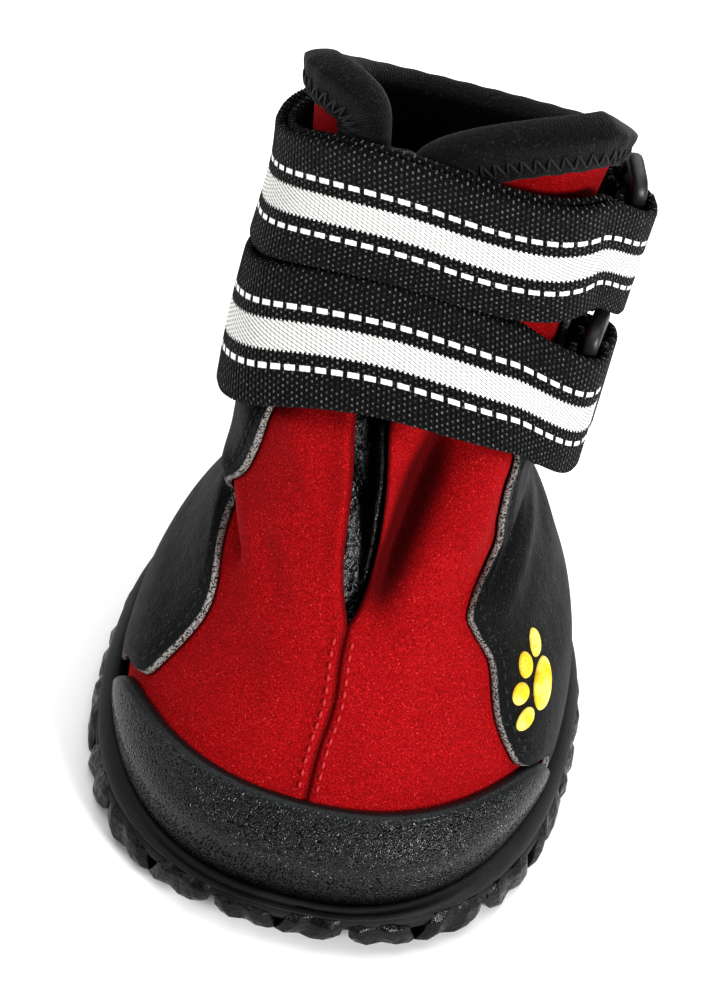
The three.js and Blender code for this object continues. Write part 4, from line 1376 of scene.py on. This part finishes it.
def satin_yellow():
    n = Finish("satin_yellow", Sheen_Weight=0.2)
    strand = n.noise(0.4, 2.0, 0.6)
    pale = n.step(n.noise(3.5, 1.0), 0.4, 0.6)
    tone = n.mix(pale, colour(228, 190, 38), colour(238, 220, 112))
    tone = n.mix(n.step(strand, 0.55, 0.8), tone, colour(180, 132, 16))
    return n.done(tone, n.blend(strand, 0.35, 0.6), strand, 0.08)


def pale_floor():
    n = Finish("pale_floor")
    shade = n.noise(60.0)
    return n.done(n.mix(shade, colour(248, 248, 248), colour(252, 252, 252)), n.blend(shade, 0.8, 0.9))


# Putting the boot together


STRAPS = {"lower": (88, -156), "upper": (124, -164)}  # the angles of its loop and its end
STRAP_START = -148
TAB_REACH = 40
TAB_STEP = 3
STRAP_RAILS = 600
TAB_RAILS = 100
STRAP_BOX = slice(-84, -12)  # the rails with the sewn box
TAB_BOX = slice(-70, -8)


def enter(piece, slot, *nodes):
    """Hides the nodes that a piece stands for. Neither the piece nor slot, its finish, is used."""
    if nodes:
        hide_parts(*nodes)


def dress():
    """Every piece of the boot."""
    lug, striped = lug_rubber(), webbing_cloth("striped_webbing", True)
    plain, plastic = webbing_cloth("plain_webbing", False), loop_plastic()
    black_thread = thread("black_thread", colour(16, 16, 18), colour(4, 4, 5))
    red_thread = thread("red_thread", colour(206, 52, 54), colour(140, 12, 18))
    yellow = satin_yellow()

    enter(sole_cup([sole_rubber()]), "sole_rubber", "outsole")
    enter(edge_lugs([lug]), "sole_rubber", "outsole")
    enter(middle_lugs([lug]), "sole_rubber", "outsole")
    enter(footbed([felt()]), "footbed", "insole")
    enter(upper_shell([stretch_red(), dark_lining()]), "stretch_fabric", "upper")
    enter(gusset([gusset_cloth()]), "gusset_fabric", "tongue")
    enter(toe_cap([cap_rubber()]), "cap_rubber", "toe_cap")
    enter(side_overlay([coated_cloth()]), "coated_fabric", "side_overlay")
    enter(collar_binding([binding_cloth()]), "binding", "collar_binding")
    for name, (loop, finish) in STRAPS.items():
        upper = name == "upper"
        strap, rails, normal = folded_band(
            name + "_webbing", upper, STRAP_WIDTH, loop, STRAP_START, finish, STRAP_RAILS, [striped]
        )
        enter(strap, "webbing", name + "_strap")
        box = box_stitches(name + "_end_stitches", rails[STRAP_BOX], -normal[STRAP_BOX], black_thread)
        enter(box, "webbing")
        enter(loop_ring(name + "_ring", upper, loop, [plastic]), "loop_plastic", name + "_loop")
        reach = loop + TAB_REACH
        tab, rails, normal = folded_band(
            name + "_tab_webbing", upper, TAB_WIDTH, loop, reach, reach - TAB_STEP, TAB_RAILS, [plain]
        )
        enter(tab, "webbing", name + "_loop_tab")
        box = box_stitches(name + "_tab_stitches", rails[TAB_BOX], normal[TAB_BOX], black_thread)
        enter(box, "webbing")
    for name in PAW:
        enter(paw_piece(name, [yellow]), "embroidery", name)
    enter(seam_stitches(red_thread), "stretch_fabric")
    enter(overlay_stitches(black_thread), "coated_fabric")
    enter(zigzag_stitches(black_thread), "binding")


# The studio


def pale_stage():
    """A wide pale floor that curves up far behind the boot."""
    work = bmesh.new()
    profile = [(-3.0, 0.0), (1.2, 0.0), (1.6, 0.05), (1.9, 0.25), (2.05, 0.6), (2.1, 3.0)]  # metres
    lines = [[work.verts.new((x, y, z)) for y, z in profile] for x in (-3.0, 3.0)]
    for k in range(len(profile) - 1):
        work.faces.new((lines[0][k], lines[1][k], lines[1][k + 1], lines[0][k + 1]))
    link("pale_stage", mesh_of("pale_stage", work, [pale_floor()]))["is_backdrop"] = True


def soft_light(name, place, aim, size, power):
    light = bpy.data.lights.new(name, "AREA")
    light.shape = "RECTANGLE"
    light.size, light.size_y = size
    light.energy = power
    lamp = link(name, light)
    lamp.location = place
    lamp.rotation_euler = (Vector(aim) - Vector(place)).to_track_quat("-Z", "Y").to_euler()


def studio():
    world = bpy.data.worlds.new("studio")
    world.use_nodes = True
    background = world.node_tree.nodes["Background"]
    background.inputs["Color"].default_value = (1.0, 1.0, 1.0, 1.0)
    background.inputs["Strength"].default_value = 0.16
    bpy.context.scene.world = world
    bpy.context.scene.view_settings.view_transform = "Standard"
    bpy.context.scene.view_settings.look = "High Contrast"
    aim = (0.0, 0.0, 0.04)
    soft_light("over", (-0.1, 0.25, 1.3), aim, (1.6, 1.6), 12.0)
    soft_light("key", (0.82, -0.72, 0.58), aim, (0.36, 0.36), 13.0)
    soft_light("side", (-0.9, -0.3, 0.5), aim, (0.5, 0.5), 3.0)
    soft_light("back", (0.2, 0.9, 0.6), aim, (0.6, 0.4), 2.0)


IMAGE_HEIGHT = 983
ELEVATION = 50
AZIMUTH = 3
ROLL = 12
DISTANCE = 0.7  # from the middle of the sole
SOLE_MIDDLE = Vector((0, 0.0042, 0))
AIM = Vector((-0.0052, 0.0273, 0.0196))
FOCAL = 4800  # in pixels


def photo_camera():
    """The photograph's angle to the boot, rolled as the boot lies in it."""
    e, a, r = (math.radians(v) for v in (ELEVATION, AZIMUTH, ROLL))
    level = Vector((math.cos(a), math.sin(a), 0))
    raised = Vector((-math.sin(a) * math.sin(e), math.cos(a) * math.sin(e), math.cos(e)))
    towards = Vector((math.sin(a) * math.cos(e), -math.cos(a) * math.cos(e), math.sin(e)))
    place = SOLE_MIDDLE + towards * DISTANCE
    towards = (place - AIM).normalized()
    right = level * math.cos(r) + raised * math.sin(r)
    up = towards.cross(right).normalized()
    right = up.cross(towards)
    lens = bpy.data.cameras.new("photo_camera")
    lens.sensor_fit = "VERTICAL"
    lens.sensor_height = 36.0
    lens.lens = FOCAL * lens.sensor_height / IMAGE_HEIGHT
    lens.clip_start, lens.clip_end = 0.01, 20.0
    camera = link("photo_camera", lens)
    turn = Matrix((right, up, towards)).transposed().to_4x4()
    camera.matrix_world = Matrix.Translation(place) @ turn
    bpy.context.scene.camera = camera


dress()
pale_stage()
studio()
photo_camera()

boxes = [[[float(v) for v in corner] for corner in box] for box in (cad_box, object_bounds())]
